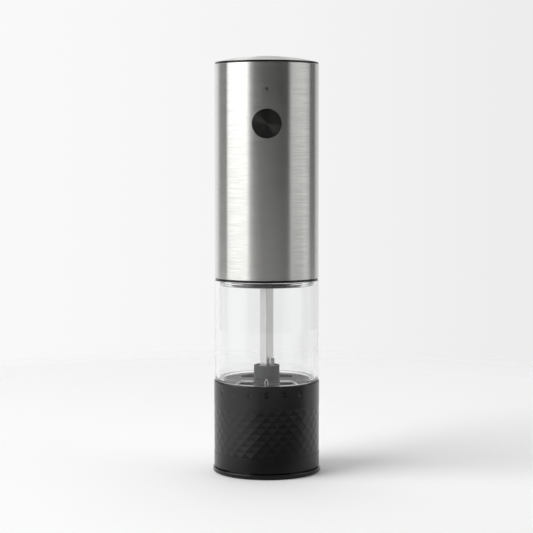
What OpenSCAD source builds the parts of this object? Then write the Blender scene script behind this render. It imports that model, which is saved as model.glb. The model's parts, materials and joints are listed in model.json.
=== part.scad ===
// Rechargeable spice grinder: steel head, clear hopper, black adjusting grip and base cap.
// Z is the axis, -Y the front, and the origin is the middle of the underside.

/* [Fits] */
// Radial clearance of parts that turn or slide on each other
run_gap = 0.1; // [0.06:0.01:0.14]
// Radial clearance of pins, screws and axles in their holes
pin_gap = 0.05; // [0.02:0.01:0.08]
// Clearance between neighbours that don't touch
part_gap = 0.3; // [0.2:0.05:0.4]

/* [Base cap] */
// Overhang of the flange past the tube
cap_proud = 1; // [0.8:0.1:2]
// Height of the flange
cap_flange_h = 2.4; // [2:0.1:4]
// Bevel round both edges of the flange
cap_bevel = 0.4; // [0.2:0.1:0.8]
// Thickness of the cup's floor
cap_floor = 1.6; // [1:0.1:2]
// Wall of the plug that fits in the grip
cap_wall = 1.4; // [1:0.1:2.4]
// Height of the plug above the flange
cap_plug_h = 6.4; // [4:0.2:7]
// Open seam between the flange and the grip
cap_seam = 0.5; // [0.3:0.1:1]

/* [Grip] */
// Overhang of the smooth bands past the tube
grip_proud = 0.4; // [0.2:0.05:0.8]
// Wall round the lower bore
grip_wall = 1.4; // [1.2:0.05:1.6]
// Height of the smooth band under the facets
low_band_h = 7.2; // [5:0.2:9]
// Rows of facets
facet_rows = 8; // [4:2:8]
// Height of one row of facets
facet_h = 3.025; // [2.6:0.025:3.2]
// Facets round the grip
facet_columns = 30; // [26:2:36]
// How far the facets' corners lie inside the smooth bands
facet_inset = 0.1; // [0.05:0.05:0.2]
// Diameter of a setting mark
dimple_d = 2.8; // [2:0.1:3.2]
// Depth of a setting mark
dimple_depth = 0.5; // [0.3:0.1:0.7]
// Distance of the setting marks below the grip's top
dimple_drop = 4.2; // [3:0.2:6]
// Turn from one setting to the next, in degrees
setting_angle = 19; // [12:0.5:19]
// Settings that lie to the left of the middle one
settings_left = 3; // [1:1:3]
// Settings that lie to the right of the middle one
settings_right = 2; // [1:1:2]
// Rise of the inner burr from one setting to the next
step_rise = 0.15; // [0.1:0.01:0.16]
// Lean of the wall behind the ledges, in degrees a step
wall_lean = 1; // [0.5:0.5:1.5]
// Radial width of the stepped cam ring
cam_w = 3.9; // [3:0.1:4.5]
// Height of the cam ring under the feet, at the middle setting
cam_h = 6; // [4:0.5:8]
// Gap between the cam ring and the base cap's plug
cam_gap = 1.8; // [0.6:0.1:3]

/* [Hopper] */
// Outside diameter of the clear tube and of the steel sleeve
body_d = 52; // [51.6:0.1:52.4]
// Wall of the clear tube
tube_wall = 2.2; // [1.8:0.1:2.4]
// Height of the clear tube above the grip
tube_h = 50.3; // [44:0.5:80]
// Thickness of the shoulder between tube and neck
shoulder_h = 1.5; // [1:0.1:2]
// Step from the tube in to the neck that the grip turns on
neck_inset = 2.4; // [2:0.1:3]
// Width of the pointer at the front
pointer_w = 1.5; // [1:0.1:2.5]
// Height of the pointer
pointer_h = 4; // [3:0.2:6]
// Height of the pointer's slanted tip
pointer_tip = 1.2; // [0.6:0.1:2]
// How far the pointer stands out of the tube
pointer_rise = 0.25; // [0.15:0.05:0.4]

/* [Feed plate] */
// Step from the neck in to the feed plate's edge
plate_inset = 2.2; // [1.8:0.1:3]
// Thickness of the feed plate
plate_t = 2; // [1.6:0.1:2.4]
// Depth of the feed plate's top below the tube's shoulder line
plate_drop = 0.2; // [0:0.1:0.4]
// Outside diameter of the hub
hub_d = 12.9; // [12.7:0.1:13.4]
// Wall of the hub
hub_wall = 0.85; // [0.7:0.05:1]
// Height of the hub above the plate
hub_h = 7.5; // [6:0.25:10]
// Windows' distance from the hub, to the left and the right
arm_margin = 0.05; // [0.05:0.05:0.6]
// Windows' distance from the hub, to the front and the back
side_arm_margin = 0.65; // [0.2:0.05:1]
// Width of a window along its inner edge
window_w = 6.1; // [5.6:0.1:6.4]
// How far a window's outer edge leans outward
window_lean = 1.9; // [1:0.1:2.2]
// Width of the plate's rim outside the windows
rim_w = 1.5; // [1.2:0.1:2]
// Width of the shallow slot in the hub's front
slot_w = 4.3; // [3:0.1:5]
// Height of that slot
slot_h = 1.5; // [1:0.1:2]
// Depth of that slot
slot_depth = 0.35; // [0.2:0.05:0.5]
// Height of that slot above the plate
slot_rise = 4.1; // [3:0.1:4.4]
// Diameter of the legs that hold the outer burr down
leg_d = 1.6; // [1.2:0.1:1.8]

/* [Burrs] */
// Wall of the housing round the outer burr
housing_wall = 1.2; // [1:0.1:1.4]
// Height of the outer burr
outer_burr_h = 16; // [15:0.5:16.5]
// Height of the outer burr's throat above its lower edge
throat_h = 8; // [7:0.5:9]
// Width of the outer burr's rim round its mouth
burr_rim_w = 3.5; // [2.5:0.1:4.5]
// Width of the outer burr's lower face
burr_land_w = 5.4; // [4.5:0.1:6.5]
// Ledge on the inner burr round the spring's middle line
spring_ledge = 0.6; // [0.5:0.1:1]
// Height of the inner burr
cone_h = 16; // [15:0.25:16.5]
// Height of the inner burr's skirt
skirt_h = 2; // [1.8:0.1:2.4]
// Gap between the burrs at the skirt, at the middle setting
burr_gap = 0.6; // [0.5:0.05:0.8]
// Gap between the burrs at the throat
throat_gap = 1; // [0.8:0.1:1.4]
// Fine teeth on the lower half of each burr
fine_teeth = 30; // [18:3:33]
// Coarse teeth in the outer burr's mouth
coarse_teeth = 9; // [6:3:9]
// Depth of a fine tooth
fine_depth = 0.7; // [0.4:0.1:0.8]
// Depth of a coarse tooth
coarse_depth = 1.4; // [1:0.1:1.6]
// Lugs that keep the outer burr from turning
burr_lugs = 3; // [3:1:4]
// Width of a lug
lug_w = 3; // [2:0.2:4]
// Height of a lug
lug_h = 6; // [4:0.5:7]
// Wire of the return spring
spring_wire = 0.8; // [0.6:0.05:0.8]
// Turns of the return spring
spring_turns = 3; // [2.5:0.25:3]
// Room for the spring between the inner burr and the feed plate
spring_room = 5.5; // [5:0.1:8]

/* [Burr housing] */
// Thickness of the housing's flange
flange_t = 2.5; // [2.2:0.1:3]
// Thickness of the lip that carries the outer burr
burr_lip_t = 2; // [1.6:0.1:2.1]
// Width of that lip under the outer burr
outlet_ledge = 4; // [3:0.1:5]
// Distance of the housing's top below the feed plate
cup_drop = 2.5; // [1.5:0.1:4]
// Diameter of the posts that guide the lift bridge
post_d = 2.6; // [2.2:0.1:2.8]
// Length of those posts
post_h = 7; // [6:0.2:8]
// Distance of the posts' middles outside the lip's edge
post_inset = 2.5; // [2:0.1:3]
// Diameter of the housing screws
housing_screw_d = 1.9; // [1.5:0.1:2]
// Diameter of their heads
housing_head_d = 3.2; // [2.8:0.1:3.4]
// Height of their heads
housing_head_h = 1.4; // [1:0.1:1.6]
// Length of their shanks
housing_screw_h = 8; // [6:0.5:9]

/* [Lift bridge] */
// Diameter of the bridge's hub
bridge_hub_d = 10; // [9:0.2:11]
// Height of the bridge's hub
bridge_hub_h = 5; // [4.6:0.1:5.4]
// Width of the bridge's arms
bridge_arm_w = 5; // [4.4:0.1:5.6]
// Thickness of the bridge's arms
bridge_arm_t = 3; // [2.4:0.1:3.4]
// Height of the arms above the hub's lower end
bridge_arm_rise = 1; // [0.8:0.1:1.2]
// Depth of the feet under the arms
foot_h = 0.4; // [0.3:0.05:0.5]
// Running gap between the feet and the cam ring
foot_gap = 0.2; // [0.16:0.01:0.26]
// Diameter of the thrust washer
washer_d = 8.4; // [7:0.2:9]
// Thickness of the thrust washer
washer_t = 1.2; // [1:0.1:1.4]

/* [Drive shaft] */
// Side of the square shaft
shaft_side = 4.8; // [4.4:0.1:5]
// Distance of the shaft's end below the gears above it
shaft_end_gap = 0.9; // [0.4:0.1:2]
// Diameter of the round journal at the shaft's lower end
journal_d = 4; // [3.2:0.1:4.2]
// Width of the nut across its flats
nut_w = 7; // [6:0.1:8]
// Height of the nut
nut_h = 2.5; // [2:0.1:3]
// Depth of the shaft socket's top below the hub's top
socket_drop = 0.6; // [0.4:0.1:1]
// Height of the clip above the shaft socket
clip_h = 4.3; // [3:0.1:6]
// Width of the clip
clip_w = 0.9; // [0.7:0.1:1.2]
// Thickness of the clip, outward from the shaft
clip_t = 1.5; // [1:0.1:1.7]

/* [Head] */
// Wall of the steel sleeve
sleeve_wall = 0.8; // [0.6:0.05:1]
// Room above the battery cell in the sleeve
head_room = 8.1; // [7:0.1:12]
// Height of the black lip under the sleeve
lip_h = 1; // [0.8:0.1:1.6]
// How far the lip lies inside the sleeve's outside
lip_inset = 0.3; // [0.1:0.05:0.4]
// Height of the collar that plugs into the tube
collar_h = 2.8; // [2.6:0.1:3.2]
// Radial gap between the collar and the tube
collar_gap = 0.4; // [0.3:0.05:0.5]
// Wall of the collar
collar_wall = 2; // [1.8:0.1:2.4]
// Height of the seal in the collar
seal_h = 1.4; // [1:0.1:1.5]
// Depth of the seal's groove
seal_depth = 1; // [0.8:0.1:1.2]
// Height of the spigot inside the sleeve
spigot_h = 5.4; // [4:0.2:6]
// Wall of the spigot
spigot_wall = 2.5; // [2:0.1:3]
// Thickness of the base's floor above the lip's underside
base_floor = 2.4; // [2.2:0.1:2.8]
// Wall of the chassis halves
chassis_wall = 1.4; // [1.2:0.1:1.6]
// Thickness of the black ring at the top
ring_t = 1; // [0.8:0.1:1.2]
// How far the black ring lies inside the sleeve's outside
ring_inset = 0.2; // [0.1:0.05:0.4]
// Depth of the black ring's skirt in the sleeve
ring_skirt_h = 2.8; // [2:0.2:3.2]
// Height of the dome
dome_h = 3.1; // [2.6:0.1:4]
// How far the dome's rim lies inside the sleeve's outside
dome_inset = 0.6; // [0.4:0.1:1]
// Thickness of the dome
dome_wall = 1.2; // [1:0.1:1.4]
// Diameter of the dome's fixing stud
dome_stud_d = 8; // [6:0.5:10]

/* [Button and status light] */
// Height of the button's middle above the main board's lower edge
button_rise = 15.9; // [14:0.1:18]
// Diameter of the hole in the sleeve
button_hole_d = 14.3; // [13.5:0.1:14.6]
// Depth of the button's face inside the sleeve's outside
button_recess = 0.6; // [0.4:0.05:0.7]
// Bevel round the button's face
button_bevel = 0.2; // [0.1:0.05:0.3]
// Width of the button's flange outside the hole
button_lip_w = 1.05; // [0.8:0.05:1.6]
// Thickness of the button's flange
button_flange_t = 1.2; // [1:0.1:1.4]
// Diameter of the button's stem
button_stem_d = 4; // [3:0.2:5]
// Travel of the button
button_travel = 0.6; // [0.4:0.05:0.7]
// Height of the status light above the button's middle
light_rise = 16.7; // [14:0.5:18]
// Diameter of the status light's pinhole
pinhole_d = 1.5; // [1:0.1:1.6]
// Diameter of the light guide behind the sleeve
guide_d = 3; // [2.4:0.1:3.4]

/* [Gearbox] */
// Gear module
gear_module = 0.5; // [0.5:0.01:0.52]
// Teeth of each sun gear
sun_teeth = 12; // [12:12:12]
// Teeth of each planet gear
planet_teeth = 18; // [18:18:18]
// Thinning of each tooth, for backlash
backlash = 0.1; // [0.08:0.01:0.14]
// Wall round the gearbox screws' middles
screw_wall = 1.75; // [1.6:0.05:2.4]
// Gap between the gearbox screws' heads and the motor
screw_head_gap = 0.45; // [0.3:0.05:0.8]
// Diameter of the planet axles
axle_d = 2; // [1.6:0.1:2.2]
// Width of the first-stage planets
stage1_w = 5; // [4.8:0.1:5.2]
// Width of the second-stage planets
stage2_w = 6; // [5.8:0.1:6.2]
// Thickness of the gearbox cover
cover_t = 2; // [1.8:0.1:2.2]
// Thickness of the first-stage carrier
carrier1_t = 2; // [1.8:0.1:2.2]
// Thickness of the output carrier
carrier2_t = 2.5; // [2.2:0.1:2.8]
// Diameter of the output carrier's socket
output_d = 9.9; // [9.6:0.1:10.2]
// Length of the output carrier's socket
output_h = 6.3; // [6:0.1:6.6]
// Thickness of the motor plate
motor_plate_t = 2; // [1.8:0.1:2.2]
// Diameter of the gearbox screws
gear_screw_d = 1.8; // [1.6:0.1:1.9]
// Diameter of their heads
gear_head_d = 3.2; // [2.8:0.1:3.2]
// Height of their heads
gear_head_h = 1.4; // [1.2:0.1:1.6]
// Depth of those screws in the head base
gear_screw_bite = 1.4; // [1.2:0.1:1.6]

/* [Motor] */
// Diameter of the motor can
motor_d = 24.4; // [24:0.1:24.4]
// Height of the motor can
motor_h = 28; // [27:0.5:28.5]
// Wall of the motor can
motor_wall = 1; // [0.8:0.1:1.1]
// Diameter of the bearing boss at its front
motor_boss_d = 6; // [5:0.2:6.4]
// Diameter of the motor shaft
motor_shaft_d = 2; // [1.8:0.1:2.1]
// Radial thickness of the magnets
magnet_t = 1.5; // [1.3:0.1:1.6]
// Distance of the magnets inside the can's ends
magnet_inset = 3; // [2:0.1:4]
// Width of a magnet's arc, in degrees
magnet_arc = 120; // [90:5:140]
// Air gap between magnets and armature
air_gap = 0.5; // [0.4:0.05:0.6]
// Distance of the armature's ends inside the magnets'
armature_inset = 3; // [2.6:0.1:4]
// Width of the armature's poles
pole_w = 2.6; // [2.2:0.1:3]
// Radial thickness of the winding on a pole
winding_t = 1.1; // [0.8:0.1:1.2]
// Diameter of the commutator
commutator_d = 5; // [4.4:0.1:5.4]
// Gap between the commutator and the end cap
commutator_gap = 0.6; // [0.3:0.1:1.5]
// Thickness of the motor's end cap
end_cap_t = 3; // [2.6:0.1:3.2]
// Height of the motor's terminals
terminal_h = 4; // [3:0.2:4.2]
// Width of the motor's terminals
terminal_w = 2.5; // [2:0.1:3]
// Thickness of terminals and battery tabs
strip_t = 0.4; // [0.3:0.05:0.5]
// Distance of the motor screws from the axis
motor_screw_r = 8; // [7.6:0.1:8.2]
// Diameter of the motor screws
motor_screw_d = 1.8; // [1.4:0.1:2]

/* [Battery and boards] */
// Diameter of the battery cell
cell_d = 18; // [14:0.5:18.5]
// Height of the battery cell
cell_h = 35; // [30:0.5:35]
// Distance of the cell behind the axis
cell_back = 4; // [3.5:0.25:5]
// Height of the shelf above the motor's end
shelf_rise = 7.2; // [7:0.2:8]
// Thickness of the shelf
shelf_t = 2; // [1.6:0.1:2.2]
// Thickness of the circuit boards
board_t = 1.6; // [1.2:0.1:1.6]
// Depth of the main board's front in the sleeve
board_depth = 10.2; // [9:0.1:12]
// Distance of the main board's edges from the chassis
board_margin = 2.4; // [2:0.1:4]
// Distance of the main board's top below the black ring's skirt
board_top_gap = 2.7; // [1:0.1:5]
// Width of the push switch
switch_w = 6; // [5:0.5:7]
// Depth of the push switch
switch_t = 3.4; // [3.2:0.1:3.6]
// Diameter of the switch plunger
plunger_d = 3.4; // [3:0.1:3.6]
// Length of plunger that shows outside the switch
plunger_out = 1; // [0.9:0.1:1.2]
// Distance of the charging socket below the motor's end
usb_drop = 11.6; // [11:0.1:14]
// Width of the charging socket
usb_w = 8.9; // [8.9:0.05:9]
// Height of the charging socket
usb_h = 3.2; // [3.2:0.05:3.3]
// Wall of the charging socket's shell
usb_wall = 0.3; // [0.25:0.05:0.35]
// Width of the charging board
usb_board_w = 14; // [12:0.5:15]
// Height of the charging board
usb_board_h = 17; // [16:0.5:17.5]
// Gap between the motor and the charging board
usb_board_gap = 3.2; // [2.6:0.1:4]
// Diameter of the wires
wire_d = 1.2; // [0.8:0.1:1.3]

/* [Chassis] */
// Diameter of the bosses that join the halves
boss_d = 5.2; // [4.8:0.1:5.4]
// Length of each half's boss
boss_h = 6; // [5:0.5:7]
// Diameter of the chassis screws
chassis_screw_d = 2; // [1.8:0.1:2.2]
// Diameter of their heads
chassis_head_d = 3.6; // [3.2:0.1:3.8]
// Height of the lower bosses above the motor's front
low_boss_rise = 8; // [4:0.5:12]
// Height of the upper bosses above the shelf
high_boss_rise = 12; // [10:0.5:16]
// Width of the rails that hold the main board
rail_w = 4; // [3.6:0.1:4.2]
// Depth of board edge that a rail takes
rail_bite = 1.4; // [1:0.1:1.6]

/* [Hidden] */
$fn = 96;

// Overrun of every cut
cut = 0.5;
// Three-fold layouts: bridge arms and posts, then housing screws between them
arm_angles = [30, 150, 270];
screw_angles = [90, 210, 330];
// The planets stand at these angles
planet_angles = [0, 120, 240];

// Radii from the outside inward
body_r = body_d / 2;
tube_r = body_r - tube_wall;
sleeve_r = body_r - sleeve_wall;
cap_r = body_r + cap_proud;
grip_r = body_r + grip_proud;
grip_bore_r = grip_r - grip_wall;
facet_r = grip_r - facet_inset;
neck_r = body_r - neck_inset;
plate_r = neck_r - plate_inset;
plate_seat_r = plate_r + part_gap;
window_r = plate_r - rim_w;
cup_r = plate_r - housing_wall + run_gap;
cup_bore_r = cup_r - housing_wall;
outer_burr_r = cup_bore_r - run_gap;
mouth_r = outer_burr_r - burr_rim_w;
burr_edge_r = outer_burr_r - burr_land_w;
cone_r = burr_edge_r - burr_gap;
outlet_r = outer_burr_r - outlet_ledge;
post_r = post_d / 2;
post_ring_r = outlet_r + post_inset;
leg_ring_r = cup_bore_r - part_gap - leg_d / 2;
flange_r = grip_bore_r - part_gap;
housing_screw_ring_r = (neck_r + cup_r + run_gap) / 2;

// Radii from the shaft outward
journal_r = journal_d / 2;
hub_r = hub_d / 2;
hub_bore_r = hub_r - hub_wall;
socket_r = hub_bore_r - run_gap;
shaft_hole = shaft_side + 2 * pin_gap;
shaft_corner_r = shaft_hole * sqrt(2) / 2;
clip_r = shaft_corner_r + pin_gap;
spring_r = socket_r + part_gap + spring_wire;
cone_top_r = spring_r + spring_ledge;
cam_r = grip_bore_r - pin_gap;
cam_bore_r = cam_r - cam_w;
foot_in_r = cam_bore_r + part_gap;
foot_out_r = cam_r - 2 * part_gap;

// Heights from the floor up: cap, cam ring, bridge, burrs, feed plate
z_grip = cap_flange_h + cap_seam;
z_plug_top = cap_flange_h + cap_plug_h;
z_cam_low = z_plug_top + cam_gap;
z_cam = z_cam_low + cam_h;
z_foot = z_cam + foot_gap;
z_arm = z_foot + foot_h;
z_bridge = z_arm - bridge_arm_rise;
z_nut_top = z_bridge - part_gap;
z_washer = z_bridge + bridge_hub_h;
z_cone = z_washer + washer_t + run_gap;
z_skirt = z_cone + skirt_h;
z_cone_top = z_cone + cone_h;
z_flange = z_cone;
z_neck = z_flange + flange_t;
z_burr = z_flange + burr_lip_t;
z_burr_top = z_burr + outer_burr_h;
z_throat = z_burr + throat_h;
z_plate = z_cone_top + spring_room;
z_plate_top = z_plate + plate_t;
z_cup_top = z_plate - cup_drop;
z_hub_top = z_plate_top + hub_h;
z_socket_top = z_hub_top - socket_drop;
z_shoulder = z_plate_top + plate_drop;
neck_h = z_shoulder - z_neck;
grip_h = z_shoulder - part_gap - z_grip;
z_facets = z_grip + low_band_h;
z_facet_top = z_facets + facet_rows * facet_h;

// Cone line of the burrs, and the return spring
function cone_radius(z) = cone_r - (cone_r - cone_top_r) * (z - z_skirt) / (z_cone_top - z_skirt);
throat_r = cone_radius(z_throat) + throat_gap;
spring_bottom = z_cone_top + run_gap + spring_wire / 2;
spring_top = z_plate - run_gap - spring_wire / 2;
spring_pitch = (spring_top - spring_bottom) / spring_turns;
echo(str("return spring: least gap between turns ", spring_pitch - spring_wire, " mm"));

// Heights of the head: base, gearbox, motor, battery, top
z_tube_top = z_shoulder + tube_h;
z_lip = z_tube_top + run_gap;
z_sleeve = z_lip + lip_h;
z_collar = z_lip - collar_h;
z_seal = z_collar + (collar_h - seal_h) / 2;
z_spigot = z_sleeve + spigot_h;
z_cover = z_lip + base_floor;
z_gears = z_cover + cover_t;
z_output = z_gears - output_h;
z_carrier2 = z_gears + part_gap;
z_planet2 = z_carrier2 + carrier2_t + run_gap;
z_sun2 = z_planet2 + run_gap;
z_shaft_top = z_sun2 - shaft_end_gap;
z_carrier1 = z_planet2 + stage2_w + part_gap;
z_planet1 = z_carrier1 + carrier1_t + run_gap;
z_motor_plate = z_planet1 + stage1_w + part_gap;
z_motor = z_motor_plate + motor_plate_t;
z_end_cap = z_motor + motor_h;
z_terminal = z_end_cap + end_cap_t;
z_shelf = z_terminal + shelf_rise;
z_board = z_shelf;
z_cell = z_shelf + shelf_t + strip_t;
z_cell_top = z_cell + cell_h;
z_ring = z_cell_top + head_room;
z_dome = z_ring + ring_t;
z_top = z_dome + dome_h;
z_skirt_low = z_ring - ring_skirt_h;
sleeve_h = z_ring - z_sleeve;
z_button = z_board + button_rise;
z_light = z_button + light_rise;
z_usb = z_end_cap - usb_drop;
z_usb_board = z_usb - usb_board_h / 2;

// Radii of the head
collar_r = tube_r - collar_gap;
lip_r = body_r - lip_inset;
spigot_r = sleeve_r - run_gap;
chassis_r = sleeve_r - part_gap;
chassis_bore_r = chassis_r - chassis_wall;
dome_r = body_r - dome_inset;
dome_sphere_r = (dome_r * dome_r + dome_h * dome_h) / (2 * dome_h);
// Height of one seal lip, as a share of the seal
lip_share = 0.2;
// Length of the charging socket's tongue, as a share of the socket
tongue_share = 0.8;

// Gears: stub teeth on the standard pitch
addendum = 0.8 * gear_module;
dedendum = gear_module;
ring_teeth = sun_teeth + 2 * planet_teeth;
sun_pitch_r = gear_module * sun_teeth / 2;
planet_pitch_r = gear_module * planet_teeth / 2;
ring_pitch_r = gear_module * ring_teeth / 2;
planet_ring_r = sun_pitch_r + planet_pitch_r;
carrier_r = ring_pitch_r - addendum - run_gap * 2;
axle_r = axle_d / 2;
output_r = output_d / 2;
flank_steps = 4;

// Motor: the gearbox screws clear the teeth and the can
motor_r = motor_d / 2;
gear_screw_r = max(ring_pitch_r + dedendum + screw_wall, motor_r + screw_head_gap + gear_head_d / 2);
gear_case_r = gear_screw_r + screw_wall;
motor_bore_r = motor_r - motor_wall;
magnet_r = motor_bore_r - pin_gap;
magnet_h = motor_h - 2 * magnet_inset;
armature_r = magnet_r - magnet_t - air_gap;
armature_h = magnet_h - 2 * armature_inset;
hub_share = 0.35;
armature_hub_r = armature_r * hub_share;
shoe_t = air_gap * 2;
motor_shaft_r = motor_shaft_d / 2;
z_magnet = z_motor + magnet_inset;
z_armature = z_magnet + armature_inset;
z_commutator = z_armature + armature_h + winding_t + part_gap;
commutator_h = z_end_cap - commutator_gap - z_commutator;

// Chassis bosses, boards and button
boss_x = chassis_bore_r - boss_d / 2 - part_gap * 2;
z_low_boss = z_motor + low_boss_rise;
z_high_boss = z_shelf + high_boss_rise;
board_front = body_r - board_depth;
board_back = board_front - board_t;
board_w = 2 * (sqrt(pow(chassis_bore_r, 2) - pow(board_front, 2)) - board_margin);
board_h = z_skirt_low - board_top_gap - z_board;
button_r = button_hole_d / 2 - part_gap;
button_flange_r = button_hole_d / 2 + button_lip_w;
button_face = body_r - button_recess;
button_inner = sqrt(pow(sleeve_r, 2) - pow(button_flange_r, 2)) - part_gap;
button_body_h = button_face - button_inner;
button_stem_end = board_front + switch_t + plunger_out;
guide_r = guide_d / 2;
usb_mouth = body_r - button_recess;
usb_board_back = motor_r + usb_board_gap;
usb_board_rear = usb_board_back + board_t;

// Small shared forms
module tube(outer, inner, height) {
    difference() {
        cylinder(r = outer, h = height);
        translate([0, 0, -cut]) cylinder(r = inner, h = height + 2 * cut);
    }
}

module square_bar(side, height) {
    rotate([0, 0, 45]) translate([-side / 2, -side / 2, 0]) cube([side, side, height]);
}

module block(width, depth, height) {
    translate([-width / 2, -depth / 2, 0]) cube([width, depth, height]);
}

// Cylinder from the distance start in front of the axis toward the back
module front_bar(radius, start, length, z) {
    translate([0, -start, z]) rotate([-90, 0, 0]) cylinder(r = radius, h = length);
}

// Closed tube along a list of points; side is a direction that the path never takes
module tube_along(path, radius, sides, side) {
    last = len(path) - 1;
    rings = [
        for (i = [0 : last])
            let (along = path[min(i + 1, last)] - path[max(i - 1, 0)])
            let (first = cross(along, side) / norm(cross(along, side)))
            let (second = cross(along, first) / norm(cross(along, first)))
            for (k = [0 : sides - 1])
                path[i] + radius * (cos(k * 360 / sides) * first + sin(k * 360 / sides) * second)
    ];
    walls = [
        for (i = [0 : last - 1])
            for (k = [0 : sides - 1])
                let (a = i * sides + k)
                let (b = i * sides + (k + 1) % sides)
                each [[a, b, b + sides], [a, b + sides, a + sides]]
    ];
    start_cap = [for (k = [1 : sides - 2]) [0, k + 1, k]];
    end_cap = [for (k = [1 : sides - 2]) [last * sides, last * sides + k, last * sides + k + 1]];
    polyhedron(points = rings, faces = concat(walls, start_cap, end_cap));
}

// Smooth curve through hand-placed points
function curve_at(p, k, t) =
    let (a = p[max(k - 1, 0)], b = p[k], c = p[k + 1], d = p[min(k + 2, len(p) - 1)])
    (2 * b + (c - a) * t + (2 * a - 5 * b + 4 * c - d) * t * t + (3 * b - a - 3 * c + d) * t * t * t) / 2;

function smooth_path(p, steps) = [
    for (k = [0 : len(p) - 2])
        for (s = [0 : steps - (k == len(p) - 2 ? 0 : 1)])
            curve_at(p, k, s / steps)
];

// Gear outlines
function involute(angle) = tan(angle) * 180 / PI - angle;
function flank_angle(teeth, r) =
    let (pitch = gear_module * teeth / 2)
    involute(20) - involute(acos(min(1, pitch * cos(20) / r)));
function half_tooth(teeth, thin, r) =
    90 / teeth - thin / (gear_module * teeth) * 180 / PI / 2 + flank_angle(teeth, r);
function gear_flank(teeth, thin, root, tip) =
    let (foot = max(root, gear_module * teeth / 2 * cos(20)))
    concat(
        foot > root ? [[root, half_tooth(teeth, thin, foot)]] : [],
        [
            for (i = [0 : flank_steps])
                let (r = foot + (tip - foot) * i / flank_steps)
                [r, half_tooth(teeth, thin, r)]
        ]
    );
function gear_points(teeth, thin, root, tip) =
    let (flank = gear_flank(teeth, thin, root, tip), last = len(flank) - 1)
    [
        for (k = [0 : teeth - 1])
            for (i = [0 : 2 * last + 1])
                let (p = i <= last ? flank[i] : flank[2 * last + 1 - i])
                let (a = k * 360 / teeth + (i <= last ? -p[1] : p[1]))
                [p[0] * cos(a), p[0] * sin(a)]
    ];

module spur_gear(teeth, height) {
    pitch = gear_module * teeth / 2;
    linear_extrude(height = height)
        polygon(gear_points(teeth, backlash, pitch - dedendum, pitch + addendum));
}

// Hopper: clear tube with its neck
module hopper_tube() {
    color([0.86, 0.89, 0.9, 0.35]) {
        difference() {
            union() {
                translate([0, 0, z_shoulder]) cylinder(r = body_r, h = tube_h);
                translate([0, 0, z_neck]) cylinder(r = neck_r, h = neck_h);
                pointer();
            }
            translate([0, 0, z_shoulder + shoulder_h]) cylinder(r = tube_r, h = tube_h);
            translate([0, 0, z_plate]) cylinder(r = plate_seat_r, h = tube_h);
            translate([0, 0, z_neck - cut]) cylinder(r = cup_r + run_gap, h = neck_h);
            for (a = screw_angles) {
                rotate([0, 0, a]) translate([housing_screw_ring_r, 0, z_neck - cut])
                    cylinder(r = housing_screw_d / 2 + pin_gap, h = housing_screw_h - flange_t + 2 * cut);
            }
        }
    }
}

module pointer() {
    outline = [
        [-pointer_w / 2, 0],
        [pointer_w / 2, 0],
        [pointer_w / 2, pointer_h - pointer_tip],
        [0, pointer_h],
        [-pointer_w / 2, pointer_h - pointer_tip]
    ];
    translate([0, -body_r + tube_wall / 2, z_shoulder]) rotate([90, 0, 0])
        linear_extrude(height = tube_wall / 2 + pointer_rise) polygon(outline);
}

// Grey plate that feeds the spice to the burrs
module feed_plate() {
    color([0.36, 0.36, 0.37]) {
        difference() {
            union() {
                translate([0, 0, z_plate]) cylinder(r = plate_r, h = plate_t);
                translate([0, 0, z_plate]) cylinder(r = hub_r, h = plate_t + hub_h);
            }
            translate([0, 0, z_plate - cut]) cylinder(r = hub_bore_r, h = plate_t + hub_h + 2 * cut);
            feed_windows();
            translate([0, -hub_r, z_plate_top + slot_rise]) block(slot_w, 2 * slot_depth, slot_h);
        }
        for (a = [0 : 90 : 270]) {
            rotate([0, 0, a]) translate([leg_ring_r, 0, z_burr_top + part_gap])
                cylinder(r = leg_d / 2, h = z_plate - z_burr_top - part_gap);
        }
    }
}

module feed_windows() {
    near_x = hub_r + arm_margin;
    near_y = hub_r + side_arm_margin;
    outline = [
        [near_x, near_y],
        [near_x + window_w, near_y],
        [near_x + window_w + window_lean, plate_r],
        [near_x, plate_r]
    ];
    intersection() {
        translate([0, 0, z_plate - cut]) cylinder(r = window_r, h = plate_t + 2 * cut);
        for (side = [0, 1]) {
            for (end = [0, 1]) {
                mirror([side, 0, 0]) mirror([0, end, 0]) translate([0, 0, z_plate - cut])
                    linear_extrude(height = plate_t + 2 * cut) polygon(outline);
            }
        }
    }
}

// Housing under the neck, with the outer burr's seat
module burr_housing() {
    color([0.12, 0.12, 0.13]) {
        difference() {
            union() {
                translate([0, 0, z_flange]) cylinder(r = flange_r, h = flange_t);
                translate([0, 0, z_flange]) cylinder(r = cup_r, h = z_cup_top - z_flange);
                for (a = arm_angles) {
                    rotate([0, 0, a]) translate([post_ring_r, 0, z_flange - post_h])
                        cylinder(r = post_r, h = post_h + burr_lip_t);
                }
            }
            translate([0, 0, z_burr]) cylinder(r = cup_bore_r, h = z_cup_top - z_flange);
            translate([0, 0, z_flange - cut]) cylinder(r = outlet_r, h = flange_t + 2 * cut);
            burr_lug_bars(lug_w + 2 * run_gap, cup_r + cut, z_burr_top - lug_h - run_gap, outer_burr_h);
            for (a = screw_angles) {
                rotate([0, 0, a]) translate([housing_screw_ring_r, 0, z_flange - cut])
                    cylinder(r = housing_screw_d / 2 + pin_gap, h = flange_t + 2 * cut);
            }
        }
    }
}

module burr_lug_bars(width, reach, z, height) {
    for (k = [0 : burr_lugs - 1]) {
        rotate([0, 0, 45 + k * 360 / burr_lugs])
            translate([outer_burr_r - housing_wall, -width / 2, z])
            cube([reach - outer_burr_r + housing_wall, width, height]);
    }
}

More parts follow.
